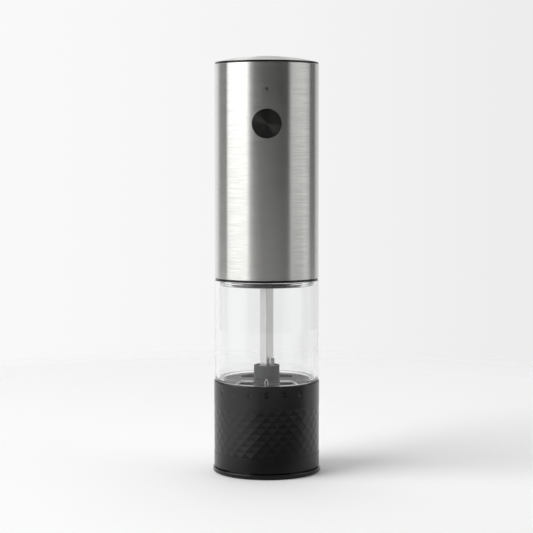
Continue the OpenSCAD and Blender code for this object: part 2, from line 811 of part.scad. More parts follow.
// Fixed ceramic burr
module outer_burr() {
    profile = [
        [burr_edge_r, z_burr],
        [outer_burr_r, z_burr],
        [outer_burr_r, z_burr_top],
        [mouth_r, z_burr_top],
        [throat_r, z_throat]
    ];
    fall = atan((burr_edge_r - throat_r) / throat_h);
    spread = atan((mouth_r - throat_r) / (outer_burr_h - throat_h));
    color([0.9, 0.89, 0.86]) {
        difference() {
            union() {
                rotate_extrude() polygon(profile);
                intersection() {
                    burr_lug_bars(lug_w, cup_r, z_burr_top - lug_h, lug_h);
                    cylinder(r = cup_r - run_gap, h = z_burr_top);
                }
            }
            for (k = [0 : fine_teeth - 1]) {
                rotate([0, 0, k * 360 / fine_teeth]) translate([burr_edge_r, 0, z_burr])
                    rotate([0, -fall, 0]) tooth_bar(fine_depth, throat_h);
            }
            for (k = [0 : coarse_teeth - 1]) {
                rotate([0, 0, k * 360 / coarse_teeth]) translate([mouth_r, 0, z_burr_top])
                    rotate([0, 180 + spread, 0]) tooth_bar(coarse_depth, outer_burr_h - throat_h);
            }
        }
    }
}

// Square bar on edge that cuts one groove, from below zero to short of the length
module tooth_bar(depth, length) {
    side = depth * sqrt(2);
    translate([0, 0, -length / 2]) square_bar(side, length * 1.4);
}

module housing_screws() {
    color([0.62, 0.62, 0.62]) {
        for (a = screw_angles) {
            rotate([0, 0, a]) translate([housing_screw_ring_r, 0, z_flange - housing_head_h]) {
                cylinder(d = housing_head_d, h = housing_head_h);
                cylinder(d = housing_screw_d, h = housing_head_h + housing_screw_h);
            }
        }
    }
}

// Coil between the feed plate and the inner burr
module return_spring() {
    steps = 12;
    path = [
        for (i = [0 : spring_turns * steps])
            let (a = i * 360 / steps)
            [spring_r * cos(a), spring_r * sin(a), spring_bottom + spring_pitch * i / steps]
    ];
    color([0.7, 0.7, 0.7]) tube_along(path, spring_wire / 2, 6, [0, 0, 1]);
}

// Bridge that lifts the shaft when the grip turns
module lift_bridge() {
    color([0.14, 0.14, 0.15]) {
        difference() {
            union() {
                translate([0, 0, z_bridge]) cylinder(d = bridge_hub_d, h = bridge_hub_h);
                intersection() {
                    union() {
                        for (a = arm_angles) {
                            rotate([0, 0, a]) bridge_arm();
                        }
                    }
                    translate([0, 0, z_foot]) cylinder(r = foot_out_r, h = bridge_hub_h);
                }
            }
            translate([0, 0, z_bridge - cut]) cylinder(r = journal_r + pin_gap, h = bridge_hub_h + 2 * cut);
            for (a = arm_angles) {
                rotate([0, 0, a]) translate([post_ring_r, 0, z_arm - cut])
                    cylinder(r = post_r + run_gap, h = bridge_arm_t + 2 * cut);
            }
        }
    }
}

module bridge_arm() {
    translate([0, -bridge_arm_w / 2, z_arm]) cube([grip_r, bridge_arm_w, bridge_arm_t]);
    translate([foot_in_r, -bridge_arm_w / 2, z_foot]) cube([cam_w, bridge_arm_w, foot_h + cut]);
}

module thrust_washer() {
    color([0.75, 0.6, 0.35]) translate([0, 0, z_washer])
        tube(washer_d / 2, journal_r + pin_gap, washer_t);
}

// Square light-metal shaft, one corner to the front
module drive_shaft() {
    color([0.74, 0.74, 0.73]) {
        translate([0, 0, z_cone]) square_bar(shaft_side, z_shaft_top - z_cone);
        translate([0, 0, z_nut_top - nut_h]) cylinder(r = journal_r, h = z_cone - z_nut_top + nut_h);
    }
}

// Bearing sleeve that turns in the feed plate's hub, with its clip beside the shaft
module shaft_socket() {
    color([0.3, 0.3, 0.31]) {
        difference() {
            translate([0, 0, z_cone_top]) cylinder(r = socket_r, h = z_socket_top - z_cone_top);
            translate([0, 0, z_cone_top - cut]) square_bar(shaft_hole, z_socket_top - z_cone_top + 2 * cut);
        }
        intersection() {
            translate([0, 0, z_cone_top]) cylinder(r = socket_r, h = z_hub_top + clip_h - z_cone_top);
            rotate([0, 0, -45]) translate([clip_r, 0, z_socket_top]) {
                translate([0, -clip_w / 2, -clip_w]) cube([clip_t, clip_w, clip_h + clip_w / 2]);
                translate([0, 0, clip_h - clip_w / 2]) rotate([0, 90, 0])
                    cylinder(r = clip_w / 2, h = clip_t);
            }
        }
    }
}

// Turning ceramic burr
module inner_burr() {
    profile = [
        [0, z_cone],
        [cone_r, z_cone],
        [cone_r, z_skirt],
        [cone_top_r, z_cone_top],
        [0, z_cone_top]
    ];
    lean = atan((cone_r - cone_top_r) / (cone_h - skirt_h));
    color([0.9, 0.89, 0.86]) {
        difference() {
            rotate_extrude() polygon(profile);
            translate([0, 0, z_cone - cut]) square_bar(shaft_hole, cone_h + 2 * cut);
            for (k = [0 : fine_teeth - 1]) {
                rotate([0, 0, (k + 0.5) * 360 / fine_teeth]) translate([cone_r, 0, z_skirt])
                    rotate([0, -lean, 0]) tooth_bar(fine_depth, throat_h);
            }
            for (k = [0 : coarse_teeth - 1]) {
                rotate([0, 0, k * 360 / coarse_teeth]) translate([cone_top_r, 0, z_cone_top])
                    rotate([0, 180 - lean, 0]) tooth_bar(coarse_depth, cone_h - throat_h);
            }
        }
    }
}

module shaft_nut() {
    color([0.7, 0.7, 0.7]) {
        difference() {
            translate([0, 0, z_nut_top - nut_h]) cylinder(r = nut_w / sqrt(3), h = nut_h, $fn = 6);
            translate([0, 0, z_nut_top - nut_h - cut])
                cylinder(r = journal_r + pin_gap, h = nut_h + 2 * cut);
        }
    }
}

// Black grip with its band of flat triangles
module grip_shell() {
    z_ledge = z_neck + part_gap;
    dimple_sphere_r = (dimple_d * dimple_d / 4 + dimple_depth * dimple_depth) / (2 * dimple_depth);
    color([0.1, 0.1, 0.1]) {
        difference() {
            union() {
                translate([0, 0, z_grip]) cylinder(r = grip_r, h = low_band_h);
                facet_band();
                translate([0, 0, z_facet_top]) cylinder(r = grip_r, h = z_grip + grip_h - z_facet_top);
            }
            translate([0, 0, z_grip - cut]) cylinder(r = grip_bore_r, h = z_ledge - z_grip + cut);
            translate([0, 0, z_grip - cut]) cylinder(r = neck_r + run_gap, h = grip_h + 2 * cut);
            for (k = [-settings_left : settings_right]) {
                rotate([0, 0, k * setting_angle])
                    translate([0, -grip_r + dimple_depth - dimple_sphere_r, z_grip + grip_h - dimple_drop])
                    sphere(r = dimple_sphere_r);
            }
        }
    }
}

// Corner of a facet: every second line starts half a column round
function facet_corner(line, column) =
    let (a = (column + (line % 2 == 0 ? 0.5 : 0)) * 360 / facet_columns - 90)
    [facet_r * cos(a), facet_r * sin(a), z_facet_top - line * facet_h];

module facet_band() {
    count = facet_columns;
    corners = [for (line = [0 : facet_rows]) for (column = [0 : count - 1]) facet_corner(line, column)];
    top_middle = len(corners);
    points = concat(corners, [[0, 0, z_facet_top], [0, 0, z_facets]]);
    walls = [
        for (line = [0 : facet_rows - 1])
            for (column = [0 : count - 1])
                let (next = (column + 1) % count, up = line * count, low = up + count)
                each line % 2 == 0
                    ? [[up + column, up + next, low + next], [low + column, up + column, low + next]]
                    : [[up + column, up + next, low + column], [low + column, up + next, low + next]]
    ];
    ends = [
        for (column = [0 : count - 1])
            let (next = (column + 1) % count, low = facet_rows * count)
            each [[top_middle, next, column], [top_middle + 1, low + column, low + next]]
    ];
    polyhedron(points = points, faces = concat(walls, ends));
}

// Stepped ledges under the bridge's feet; each cut clears one step
module cam_ring() {
    tall = cam_h + settings_left * step_rise;
    pitch = 360 / len(arm_angles);
    color([0.2, 0.2, 0.21]) {
        difference() {
            translate([0, 0, z_cam_low]) cylinder(r = cam_r, h = tall);
            for (a = arm_angles) {
                for (k = [-settings_right : settings_left - 1]) {
                    translate([0, 0, z_cam + k * step_rise])
                        wedge(
                            a - (k + 0.5) * setting_angle,
                            a + pitch - (settings_left + 0.5) * setting_angle + (k - settings_left) * wall_lean,
                            k == settings_left - 1 ? cut : step_rise
                        );
                }
            }
            translate([0, 0, z_cam_low - cut]) cylinder(r = cam_bore_r, h = tall + 2 * cut);
        }
    }
}

// Upright wedge about the axis, from one angle to another
module wedge(from, to, height) {
    reach = 2 * grip_r / cos((to - from) / 2);
    linear_extrude(height = height)
        polygon([[0, 0], [reach * cos(from), reach * sin(from)], [reach * cos(to), reach * sin(to)]]);
}

// Cap that closes the outlet and carries the grinder
module base_cap() {
    plug_r = grip_bore_r - run_gap;
    profile = [
        [0, 0],
        [cap_r - cap_bevel, 0],
        [cap_r, cap_bevel],
        [cap_r, cap_flange_h - cap_bevel],
        [cap_r - cap_bevel, cap_flange_h],
        [plug_r, cap_flange_h],
        [plug_r, z_plug_top],
        [plug_r - cap_wall, z_plug_top],
        [plug_r - cap_wall, cap_floor],
        [0, cap_floor]
    ];
    color([0.07, 0.07, 0.07]) rotate_extrude() polygon(profile);
}

// Head: sleeve, dome and ring
module steel_sleeve() {
    color([0.72, 0.72, 0.71]) {
        difference() {
            translate([0, 0, z_sleeve]) tube(body_r, sleeve_r, sleeve_h);
            front_bar(button_hole_d / 2, body_r + cut, body_r / 2, z_button);
            front_bar(pinhole_d / 2, body_r + cut, body_r / 2, z_light);
            usb_slot(part_gap, body_r + cut);
        }
    }
}

// Round-ended slot through the rear wall
module usb_slot(gap, reach) {
    slot_r = usb_h / 2 + gap;
    middle = (usb_w - usb_h) / 2;
    for (x = [-middle, middle]) {
        translate([x, usb_board_rear, z_usb]) rotate([-90, 0, 0])
            cylinder(r = slot_r, h = reach - usb_board_rear);
    }
    translate([-middle, usb_board_rear, z_usb - slot_r])
        cube([2 * middle, reach - usb_board_rear, 2 * slot_r]);
}

module top_cap() {
    color([0.77, 0.77, 0.76]) {
        difference() {
            intersection() {
                translate([0, 0, z_dome]) cylinder(r = dome_r, h = dome_h);
                translate([0, 0, z_top - dome_sphere_r]) sphere(r = dome_sphere_r, $fn = 240);
            }
            intersection() {
                translate([0, 0, z_dome - cut]) cylinder(r = dome_r - 2 * dome_wall, h = dome_h);
                translate([0, 0, z_top - dome_sphere_r]) sphere(r = dome_sphere_r - dome_wall, $fn = 240);
            }
        }
        translate([0, 0, z_ring - ring_t]) cylinder(d = dome_stud_d, h = 2 * ring_t + dome_h - dome_wall);
    }
}

module top_ring() {
    color([0.05, 0.05, 0.05]) {
        difference() {
            union() {
                translate([0, 0, z_ring]) cylinder(r = body_r - ring_inset, h = ring_t);
                translate([0, 0, z_skirt_low]) tube(spigot_r, spigot_r - chassis_wall, ring_skirt_h);
            }
            translate([0, 0, z_ring - cut]) cylinder(r = dome_stud_d / 2 + pin_gap, h = ring_t + 2 * cut);
        }
    }
}

// Base of the head, with the collar that plugs into the tube
module head_base() {
    boss_r = output_r + 2 * lip_h;
    color([0.05, 0.05, 0.05]) {
        difference() {
            union() {
                translate([0, 0, z_collar]) cylinder(r = collar_r, h = collar_h);
                translate([0, 0, z_lip]) cylinder(r = lip_r, h = lip_h);
                translate([0, 0, z_sleeve]) cylinder(r = spigot_r, h = spigot_h);
            }
            translate([0, 0, z_collar - cut]) tube(collar_r - collar_wall, boss_r, collar_h + cut);
            translate([0, 0, z_seal]) tube(collar_r + cut, collar_r - seal_depth, seal_h);
            translate([0, 0, z_cover]) cylinder(r = spigot_r - spigot_wall, h = spigot_h + lip_h);
            translate([0, 0, z_collar - cut])
                cylinder(r = output_r + part_gap, h = z_cover - z_collar + 2 * cut);
            gear_screw_holes(z_cover - gear_screw_bite - part_gap, gear_screw_bite + part_gap + cut);
        }
    }
}

module head_seal() {
    inner = collar_r - seal_depth + pin_gap;
    lip = seal_h * lip_share;
    profile = [
        [inner, z_seal + run_gap],
        [tube_r - run_gap, z_seal + run_gap],
        [tube_r - run_gap, z_seal + run_gap + lip],
        [collar_r - run_gap, z_seal + seal_h / 2],
        [tube_r - run_gap, z_seal + seal_h - run_gap - lip],
        [tube_r - run_gap, z_seal + seal_h - run_gap],
        [inner, z_seal + seal_h - run_gap]
    ];
    color([0.12, 0.12, 0.12]) rotate_extrude() polygon(profile);
}

// Chassis halves: wall, shelf, rails and bosses, cut at the middle plane
module chassis_form() {
    intersection() {
        union() {
            translate([0, 0, z_spigot]) tube(chassis_r, chassis_bore_r, z_skirt_low - z_spigot);
            translate([0, 0, z_shelf]) shelf_plate();
            motor_collar();
            cell_collar();
            board_rails();
            for (x = [-boss_x, boss_x]) {
                for (z = [z_low_boss, z_high_boss]) {
                    translate([x, -boss_h, z]) rotate([-90, 0, 0]) cylinder(d = boss_d, h = 2 * boss_h);
                    translate([x > 0 ? x : x - chassis_r + boss_x, -boss_h, z - boss_d / 4])
                        cube([chassis_r - boss_x, 2 * boss_h, boss_d / 2]);
                }
            }
            charging_posts();
        }
        translate([0, 0, z_spigot]) cylinder(r = chassis_r, h = z_skirt_low - z_spigot);
    }
}

module shelf_plate() {
    difference() {
        cylinder(r = chassis_r, h = shelf_t);
        translate([-board_w / 2 - part_gap, -chassis_bore_r, -cut])
            cube([board_w + 2 * part_gap, chassis_bore_r - board_back + 3 * wire_d, shelf_t + 2 * cut]);
        translate([0, cell_back + cell_d / 2 + 2 * wire_d, -cut])
            block(usb_board_w / 2, 2 * wire_d, shelf_t + 2 * cut);
    }
}

module motor_collar() {
    collar_t = shelf_t;
    difference() {
        translate([0, 0, z_end_cap - collar_t - part_gap]) cylinder(r = chassis_r, h = collar_t);
        translate([0, 0, z_end_cap - 2 * collar_t]) cylinder(r = motor_r + run_gap, h = 3 * collar_t);
        translate([0, usb_board_back, z_end_cap - 2 * collar_t])
            block(usb_board_w / 2, 4 * wire_d, 3 * collar_t);
    }
}

module cell_collar() {
    collar_t = shelf_t;
    difference() {
        translate([0, 0, z_cell_top - 3 * collar_t]) cylinder(r = chassis_r, h = collar_t);
        translate([0, cell_back, z_cell_top - 4 * collar_t])
            cylinder(r = cell_d / 2 + run_gap, h = 3 * collar_t);
        translate([-chassis_r, -2 * chassis_r, z_cell_top - 4 * collar_t])
            cube([2 * chassis_r, 2 * chassis_r, 3 * collar_t]);
        for (x = [-boss_x, boss_x]) {
            translate([x / 2, cell_back, z_cell_top - 4 * collar_t])
                block(4 * wire_d, cell_d * 2, 3 * collar_t);
        }
    }
}

module board_rails() {
    reach = board_w / 2 - rail_bite;
    for (side = [0, 1]) {
        mirror([side, 0, 0]) {
            difference() {
                translate([reach, -chassis_bore_r, z_shelf])
                    cube([rail_w + rail_bite, chassis_bore_r - board_back + board_t, z_skirt_low - z_shelf]);
                translate([0, -board_front - run_gap, z_shelf - cut])
                    cube([board_w / 2 + run_gap, board_t + 2 * run_gap, sleeve_h]);
                translate([0, -chassis_r, z_shelf - cut])
                    cube([board_w / 2, chassis_r - board_front - board_t, sleeve_h]);
            }
        }
    }
}

module charging_posts() {
    for (z = [z_usb_board + boss_d / 2, z_usb_board + usb_board_h - boss_d / 2]) {
        translate([0, usb_board_rear, z]) rotate([-90, 0, 0])
            cylinder(d = boss_d / 2, h = chassis_r - usb_board_rear);
    }
}

module chassis_front() {
    color([0.16, 0.16, 0.17]) {
        difference() {
            intersection() {
                chassis_form();
                translate([-body_r, -body_r, z_spigot]) cube([body_d, body_r, sleeve_h]);
            }
            front_bar(button_flange_r + part_gap, body_r, body_r - board_front - part_gap, z_button);
            front_bar(guide_r + pin_gap, body_r, body_r - board_front - part_gap, z_light);
            chassis_screw_bars(chassis_screw_d / 2 + run_gap, chassis_head_d / 2 + run_gap);
        }
    }
}

module chassis_rear() {
    color([0.16, 0.16, 0.17]) {
        difference() {
            intersection() {
                chassis_form();
                translate([-body_r, 0, z_spigot]) cube([body_d, body_r, sleeve_h]);
            }
            usb_slot(part_gap, body_r + cut);
            chassis_screw_bars(chassis_screw_d / 2 + pin_gap, chassis_head_d / 2 + run_gap);
        }
    }
}

// Screws run from the front boss into the rear one
module chassis_screw_bars(radius, head_radius) {
    head_h = chassis_head_d / 2;
    for (x = [-boss_x, boss_x]) {
        for (z = [z_low_boss, z_high_boss]) {
            translate([x, -boss_h - cut, z]) rotate([-90, 0, 0]) {
                cylinder(r = head_radius, h = head_h + cut);
                cylinder(r = radius, h = 2 * boss_h);
            }
        }
    }
}

module chassis_screws() {
    color([0.6, 0.6, 0.6]) {
        head_h = chassis_head_d / 2;
        for (x = [-boss_x, boss_x]) {
            for (z = [z_low_boss, z_high_boss]) {
                translate([x, -boss_h + run_gap, z]) rotate([-90, 0, 0]) {
                    cylinder(d = chassis_head_d, h = head_h - run_gap);
                    cylinder(d = chassis_screw_d, h = 2 * boss_h - head_h);
                }
            }
        }
    }
}

// Gearbox shells
module gear_screw_holes(z, height) {
    for (a = planet_angles) {
        rotate([0, 0, a + 60]) translate([gear_screw_r, 0, z])
            cylinder(r = gear_screw_d / 2 + pin_gap, h = height);
    }
}

module gear_cover() {
    color([0.3, 0.3, 0.32]) {
        difference() {
            translate([0, 0, z_cover]) tube(gear_case_r, output_r + pin_gap, cover_t);
            gear_screw_holes(z_cover - cut, cover_t + 2 * cut);
        }
    }
}

module ring_gear() {
    height = z_motor_plate - z_gears;
    color([0.85, 0.84, 0.78]) {
        difference() {
            translate([0, 0, z_gears]) cylinder(r = gear_case_r, h = height);
            translate([0, 0, z_gears - cut]) rotate([0, 0, 180 / ring_teeth])
                linear_extrude(height = height + 2 * cut)
                polygon(gear_points(ring_teeth, -backlash, ring_pitch_r - addendum, ring_pitch_r + dedendum));
            gear_screw_holes(z_gears - cut, height + 2 * cut);
        }
    }
}

module motor_plate() {
    color([0.65, 0.65, 0.66]) {
        difference() {
            translate([0, 0, z_motor_plate])
                tube(gear_case_r, motor_boss_d / 2 + pin_gap, motor_plate_t);
            gear_screw_holes(z_motor_plate - cut, motor_plate_t + 2 * cut);
            motor_screw_forms(pin_gap, motor_plate_t + cut);
        }
    }
}

// Countersunk screws under the motor plate
module motor_screw_forms(gap, length) {
    head_r = motor_screw_d;
    for (x = [-motor_screw_r, motor_screw_r]) {
        translate([x, 0, z_motor_plate]) {
            cylinder(r1 = head_r + gap, r2 = motor_screw_d / 2 + gap, h = head_r / 2);
            cylinder(r = motor_screw_d / 2 + gap, h = length);
        }
    }
}

module motor_screws() {
    color([0.6, 0.6, 0.6]) motor_screw_forms(0, motor_plate_t + 2 * motor_wall);
}

module gearbox_screws() {
    length = z_motor - z_cover + gear_screw_bite;
    color([0.6, 0.6, 0.6]) {
        for (a = planet_angles) {
            rotate([0, 0, a + 60]) translate([gear_screw_r, 0, z_motor - length]) {
                cylinder(d = gear_screw_d, h = length);
                translate([0, 0, length]) cylinder(d = gear_head_d, h = gear_head_h);
            }
        }
    }
}

// Motor
module motor_can() {
    color([0.68, 0.69, 0.7]) {
        difference() {
            union() {
                translate([0, 0, z_motor]) cylinder(r = motor_r, h = motor_h);
                translate([0, 0, z_motor_plate + run_gap])
                    cylinder(d = motor_boss_d, h = motor_plate_t - run_gap);
            }
            translate([0, 0, z_motor + motor_wall]) cylinder(r = motor_bore_r, h = motor_h);
            translate([0, 0, z_motor_plate - cut])
                cylinder(r = motor_shaft_r + pin_gap, h = motor_plate_t + motor_wall + 2 * cut);
            motor_screw_forms(pin_gap, motor_plate_t + motor_wall + cut);
        }
    }
}

module motor_magnets() {
    reach = 2 * motor_r;
    half = magnet_arc / 2;
    color([0.2, 0.2, 0.2]) {
        for (turn = [0, 180]) {
            rotate([0, 0, turn]) intersection() {
                translate([0, 0, z_magnet]) tube(magnet_r, magnet_r - magnet_t, magnet_h);
                translate([0, 0, z_magnet]) linear_extrude(height = magnet_h)
                    polygon([
                        [0, 0],
                        [reach * cos(half), -reach * sin(half)],
                        [reach, -reach * sin(half)],
                        [reach, reach * sin(half)],
                        [reach * cos(half), reach * sin(half)]
                    ]);
            }
        }
    }
}

module motor_end_cap() {
    color([0.14, 0.14, 0.15]) {
        difference() {
            translate([0, 0, z_end_cap]) cylinder(r = motor_r, h = end_cap_t);
            translate([0, 0, z_end_cap - cut]) cylinder(r = motor_shaft_r + pin_gap, h = end_cap_t + 2 * cut);
            for (x = [-motor_screw_r, motor_screw_r]) {
                translate([x, 0, z_terminal - terminal_w]) block(terminal_w + 2 * run_gap,
                    strip_t + 2 * run_gap, end_cap_t);
            }
        }
    }
}

module motor_terminals() {
    color([0.8, 0.66, 0.36]) {
        for (x = [-motor_screw_r, motor_screw_r]) {
            translate([x, 0, z_terminal - terminal_w]) block(terminal_w, strip_t, terminal_w + terminal_h);
        }
    }
}

// Rotor
module motor_shaft() {
    color([0.75, 0.75, 0.76]) translate([0, 0, z_planet1 + run_gap])
        cylinder(r = motor_shaft_r, h = z_terminal + part_gap - z_planet1 - run_gap);
}

module armature() {
    color([0.45, 0.45, 0.47]) {
        difference() {
            translate([0, 0, z_armature]) union() {
                cylinder(r = armature_hub_r, h = armature_h);
                for (a = planet_angles) {
                    rotate([0, 0, a]) armature_pole();
                }
            }
            translate([0, 0, z_armature - cut])
                cylinder(r = motor_shaft_r + pin_gap / 2, h = armature_h + 2 * cut);
        }
    }
}

module armature_pole() {
    shoe_angle = 50;
    translate([0, -pole_w / 2, 0]) cube([armature_r - shoe_t / 2, pole_w, armature_h]);
    intersection() {
        tube(armature_r, armature_r - shoe_t, armature_h);
        translate([0, 0, -cut]) wedge(-shoe_angle, shoe_angle, armature_h + 2 * cut);
    }
}

module windings() {
    inner = armature_hub_r + part_gap;
    wide = pole_w + 2 * winding_t;
    outer = sqrt(pow(armature_r - shoe_t - part_gap, 2) - pow(wide / 2, 2));
    color([0.72, 0.4, 0.2]) {
        for (a = planet_angles) {
            rotate([0, 0, a]) translate([(inner + outer) / 2, 0, 0]) {
                difference() {
                    translate([0, 0, z_armature - winding_t])
                        block(outer - inner, wide, armature_h + 2 * winding_t);
                    translate([0, 0, z_armature - pin_gap])
                        block(armature_r, pole_w + 2 * pin_gap, armature_h + 2 * pin_gap);
                }
            }
        }
    }
}

module commutator() {
    color([0.75, 0.48, 0.28]) {
        difference() {
            translate([0, 0, z_commutator])
                tube(commutator_d / 2, motor_shaft_r + pin_gap / 2, commutator_h);
            for (a = planet_angles) {
                rotate([0, 0, a]) translate([commutator_d / 2, 0, z_commutator - cut])
                    block(commutator_d / 4, part_gap, commutator_h + 2 * cut);
            }
        }
    }
}

module motor_pinion() {
    color([0.8, 0.68, 0.4]) {
        difference() {
            translate([0, 0, z_planet1 + run_gap]) spur_gear(sun_teeth, stage1_w);
            translate([0, 0, z_planet1 - cut])
                cylinder(r = motor_shaft_r + pin_gap / 2, h = stage1_w + 2 * cut);
        }
    }
}

// Planet carriers and their axles
module axle_holes(z, height) {
    for (a = planet_angles) {
        rotate([0, 0, a]) translate([planet_ring_r, 0, z]) cylinder(r = axle_r + pin_gap / 2, h = height);
    }
}

module axles(z, height) {
    for (a = planet_angles) {
        rotate([0, 0, a]) translate([planet_ring_r, 0, z]) cylinder(r = axle_r, h = height);
    }
}

module stage1_carrier() {
    color([0.86, 0.85, 0.8]) {
        difference() {
            translate([0, 0, z_carrier1]) cylinder(r = carrier_r, h = carrier1_t);
            axle_holes(z_carrier1 - cut, carrier1_t + 2 * cut);
        }
        translate([0, 0, z_sun2]) spur_gear(sun_teeth, z_carrier1 - z_sun2);
    }
}

module stage1_axles() {
    color([0.7, 0.7, 0.7]) axles(z_carrier1, carrier1_t + run_gap + stage1_w);
}

module output_carrier() {
    color([0.3, 0.3, 0.31]) {
        difference() {
            union() {
                translate([0, 0, z_carrier2]) cylinder(r = carrier_r, h = carrier2_t);
                translate([0, 0, z_output]) cylinder(r = output_r, h = z_carrier2 - z_output);
            }
            translate([0, 0, z_output - cut])
                square_bar(shaft_hole + 2 * pin_gap, z_carrier2 - z_output + carrier2_t + 2 * cut);
            axle_holes(z_carrier2 - cut, carrier2_t + 2 * cut);
        }
    }
}

module output_axles() {
    color([0.7, 0.7, 0.7]) axles(z_carrier2, carrier2_t + run_gap + stage2_w);
}

// A planet turns so that a tooth gap faces the sun and the ring gear
module planet(position, z, width) {
    color([0.88, 0.86, 0.8]) {
        rotate([0, 0, planet_angles[position]]) translate([planet_ring_r, 0, z]) {
            difference() {
                rotate([0, 0, 180 / planet_teeth]) spur_gear(planet_teeth, width);
                translate([0, 0, -cut]) cylinder(r = axle_r + pin_gap, h = width + 2 * cut);
            }
        }
    }
}

module stage1_planet_1() {
    planet(0, z_planet1, stage1_w);
}

module stage1_planet_2() {
    planet(1, z_planet1, stage1_w);
}

module stage1_planet_3() {
    planet(2, z_planet1, stage1_w);
}

module stage2_planet_1() {
    planet(0, z_planet2, stage2_w);
}

module stage2_planet_2() {
    planet(1, z_planet2, stage2_w);
}

module stage2_planet_3() {
    planet(2, z_planet2, stage2_w);
}

// Electrics
module battery_cell() {
    color([0.25, 0.45, 0.35]) translate([0, cell_back, z_cell]) cylinder(d = cell_d, h = cell_h);
}

module battery_tabs() {
    tab_w = cell_d / 3;
    tab_front = cell_back - cell_d / 2 - 2 * wire_d;
    color([0.75, 0.74, 0.7]) {
        for (z = [z_cell - strip_t, z_cell_top]) {
            translate([-tab_w / 2, tab_front, z]) cube([tab_w, cell_back - tab_front + tab_w / 2, strip_t]);
        }
    }
}

module main_board() {
    color([0.1, 0.35, 0.18]) {
        translate([-board_w / 2, -board_front, z_board]) cube([board_w, board_t, board_h]);
        for (x = [-board_w / 4, board_w / 4]) {
            translate([x, -board_front - board_t / 2, z_board + board_h / 8])
                block(switch_w / 2, board_t, switch_w);
        }
    }
}

module switch_body() {
    color([0.18, 0.18, 0.19]) {
        difference() {
            translate([-switch_w / 2, -board_front - switch_t, z_button - switch_w / 2])
                cube([switch_w, switch_t, switch_w]);
            front_bar(plunger_d / 2 + run_gap, board_front + switch_t + cut,
                plunger_out + button_travel + part_gap + cut, z_button);
        }
    }
}

module status_light() {
    color([0.9, 0.9, 0.86]) {
        translate([-guide_r, -board_front - guide_r, z_light - guide_r / 2])
            cube([guide_d, guide_r, guide_r]);
    }
}

module light_guide() {
    color([0.92, 0.93, 0.94]) {
        front_bar(pinhole_d / 2 - run_gap, body_r - run_gap, sleeve_wall + part_gap + run_gap, z_light);
        front_bar(guide_r, sleeve_r - part_gap, sleeve_r - board_front - guide_r - 2 * part_gap, z_light);
    }
}

module charging_board() {
    color([0.1, 0.35, 0.18]) {
        translate([-usb_board_w / 2, usb_board_back, z_usb_board])
            cube([usb_board_w, board_t, usb_board_h]);
    }
}

module charging_socket() {
    length = usb_mouth - usb_board_rear;
    tongue_w = usb_w - usb_h;
    tongue_t = usb_h / 4;
    color([0.7, 0.7, 0.7]) {
        difference() {
            intersection() {
                usb_slot(0, usb_mouth);
                translate([-usb_w, 0, z_usb - usb_w]) cube([2 * usb_w, usb_mouth, 2 * usb_w]);
            }
            translate([0, length / 4, 0]) usb_slot(-usb_wall, usb_mouth + cut);
        }
        translate([-tongue_w / 2, usb_board_rear, z_usb - tongue_t / 2])
            cube([tongue_w, length * tongue_share, tongue_t]);
    }
}

// Wires: motor to board, then battery to board
module wiring() {
    radius = wire_d / 2;
    behind = -board_back + part_gap;
    lane = -board_back + 2 * wire_d;
    tab_front = cell_back - cell_d / 2 - 2 * wire_d;
    color([0.75, 0.12, 0.1]) {
        for (x = [-motor_screw_r, motor_screw_r]) {
            wire([
                [x, -strip_t / 2 - radius - run_gap, z_terminal + terminal_h / 2],
                [x, -strip_t - 3 * wire_d, z_terminal + terminal_h - radius],
                [x, lane, z_shelf],
                [x, lane, z_shelf + shelf_t + wire_d],
                [x, behind + wire_d, z_shelf + shelf_t + 3 * wire_d],
                [x, behind, z_shelf + shelf_t + 3 * wire_d]
            ], radius);
        }
        wire([
            [-wire_d, tab_front + radius, z_cell + radius + run_gap],
            [-wire_d, tab_front - wire_d, z_cell + radius + run_gap],
            [-wire_d, lane, z_cell + 3 * wire_d],
            [-wire_d, behind + wire_d, z_cell + 5 * wire_d],
            [-wire_d, behind, z_cell + 5 * wire_d]
        ], radius);
        wire([
            [wire_d, tab_front + radius, z_cell_top + strip_t + radius + run_gap],
            [wire_d, tab_front - wire_d, z_cell_top + strip_t + radius + run_gap],
            [wire_d, lane, z_cell_top - 3 * wire_d],
            [wire_d, behind + wire_d, z_cell_top - 5 * wire_d],
            [wire_d, behind, z_cell_top - 5 * wire_d]
        ], radius);
    }
}

module wire(points, radius) {
    tube_along(smooth_path(points, 4), radius, 6, [1, 0, 0]);
}

// Button and the plunger that it pushes
module push_button() {
    color([0.09, 0.09, 0.09]) {
        translate([0, -button_face, z_button]) rotate([-90, 0, 0]) {
            cylinder(r1 = button_r - button_bevel, r2 = button_r, h = button_bevel);
            translate([0, 0, button_bevel]) cylinder(r = button_r, h = button_body_h - button_bevel);
            translate([0, 0, button_body_h]) cylinder(r = button_flange_r, h = button_flange_t);
            cylinder(d = button_stem_d, h = button_face - button_stem_end);
        }
    }
}

module switch_plunger() {
    color([0.85, 0.85, 0.82]) {
        front_bar(plunger_d / 2, button_stem_end, 2 * plunger_out, z_button);
    }
}

hopper_tube();
feed_plate();
burr_housing();
outer_burr();
housing_screws();
return_spring();
lift_bridge();
thrust_washer();
drive_shaft();
shaft_socket();
inner_burr();
shaft_nut();
grip_shell();
cam_ring();
base_cap();
steel_sleeve();
top_cap();
top_ring();
head_base();
head_seal();
chassis_front();
chassis_rear();
chassis_screws();
gear_cover();
ring_gear();
motor_plate();
gearbox_screws();
motor_can();
motor_screws();
motor_magnets();
motor_end_cap();
motor_terminals();
battery_cell();
battery_tabs();
main_board();
switch_body();
status_light();
light_guide();
charging_board();
charging_socket();
wiring();
push_button();
switch_plunger();
motor_shaft();
armature();
windings();
commutator();
motor_pinion();
stage1_carrier();
stage1_axles();
stage1_planet_1();
stage1_planet_2();
stage1_planet_3();
output_carrier();
output_axles();
stage2_planet_1();
stage2_planet_2();
stage2_planet_3();
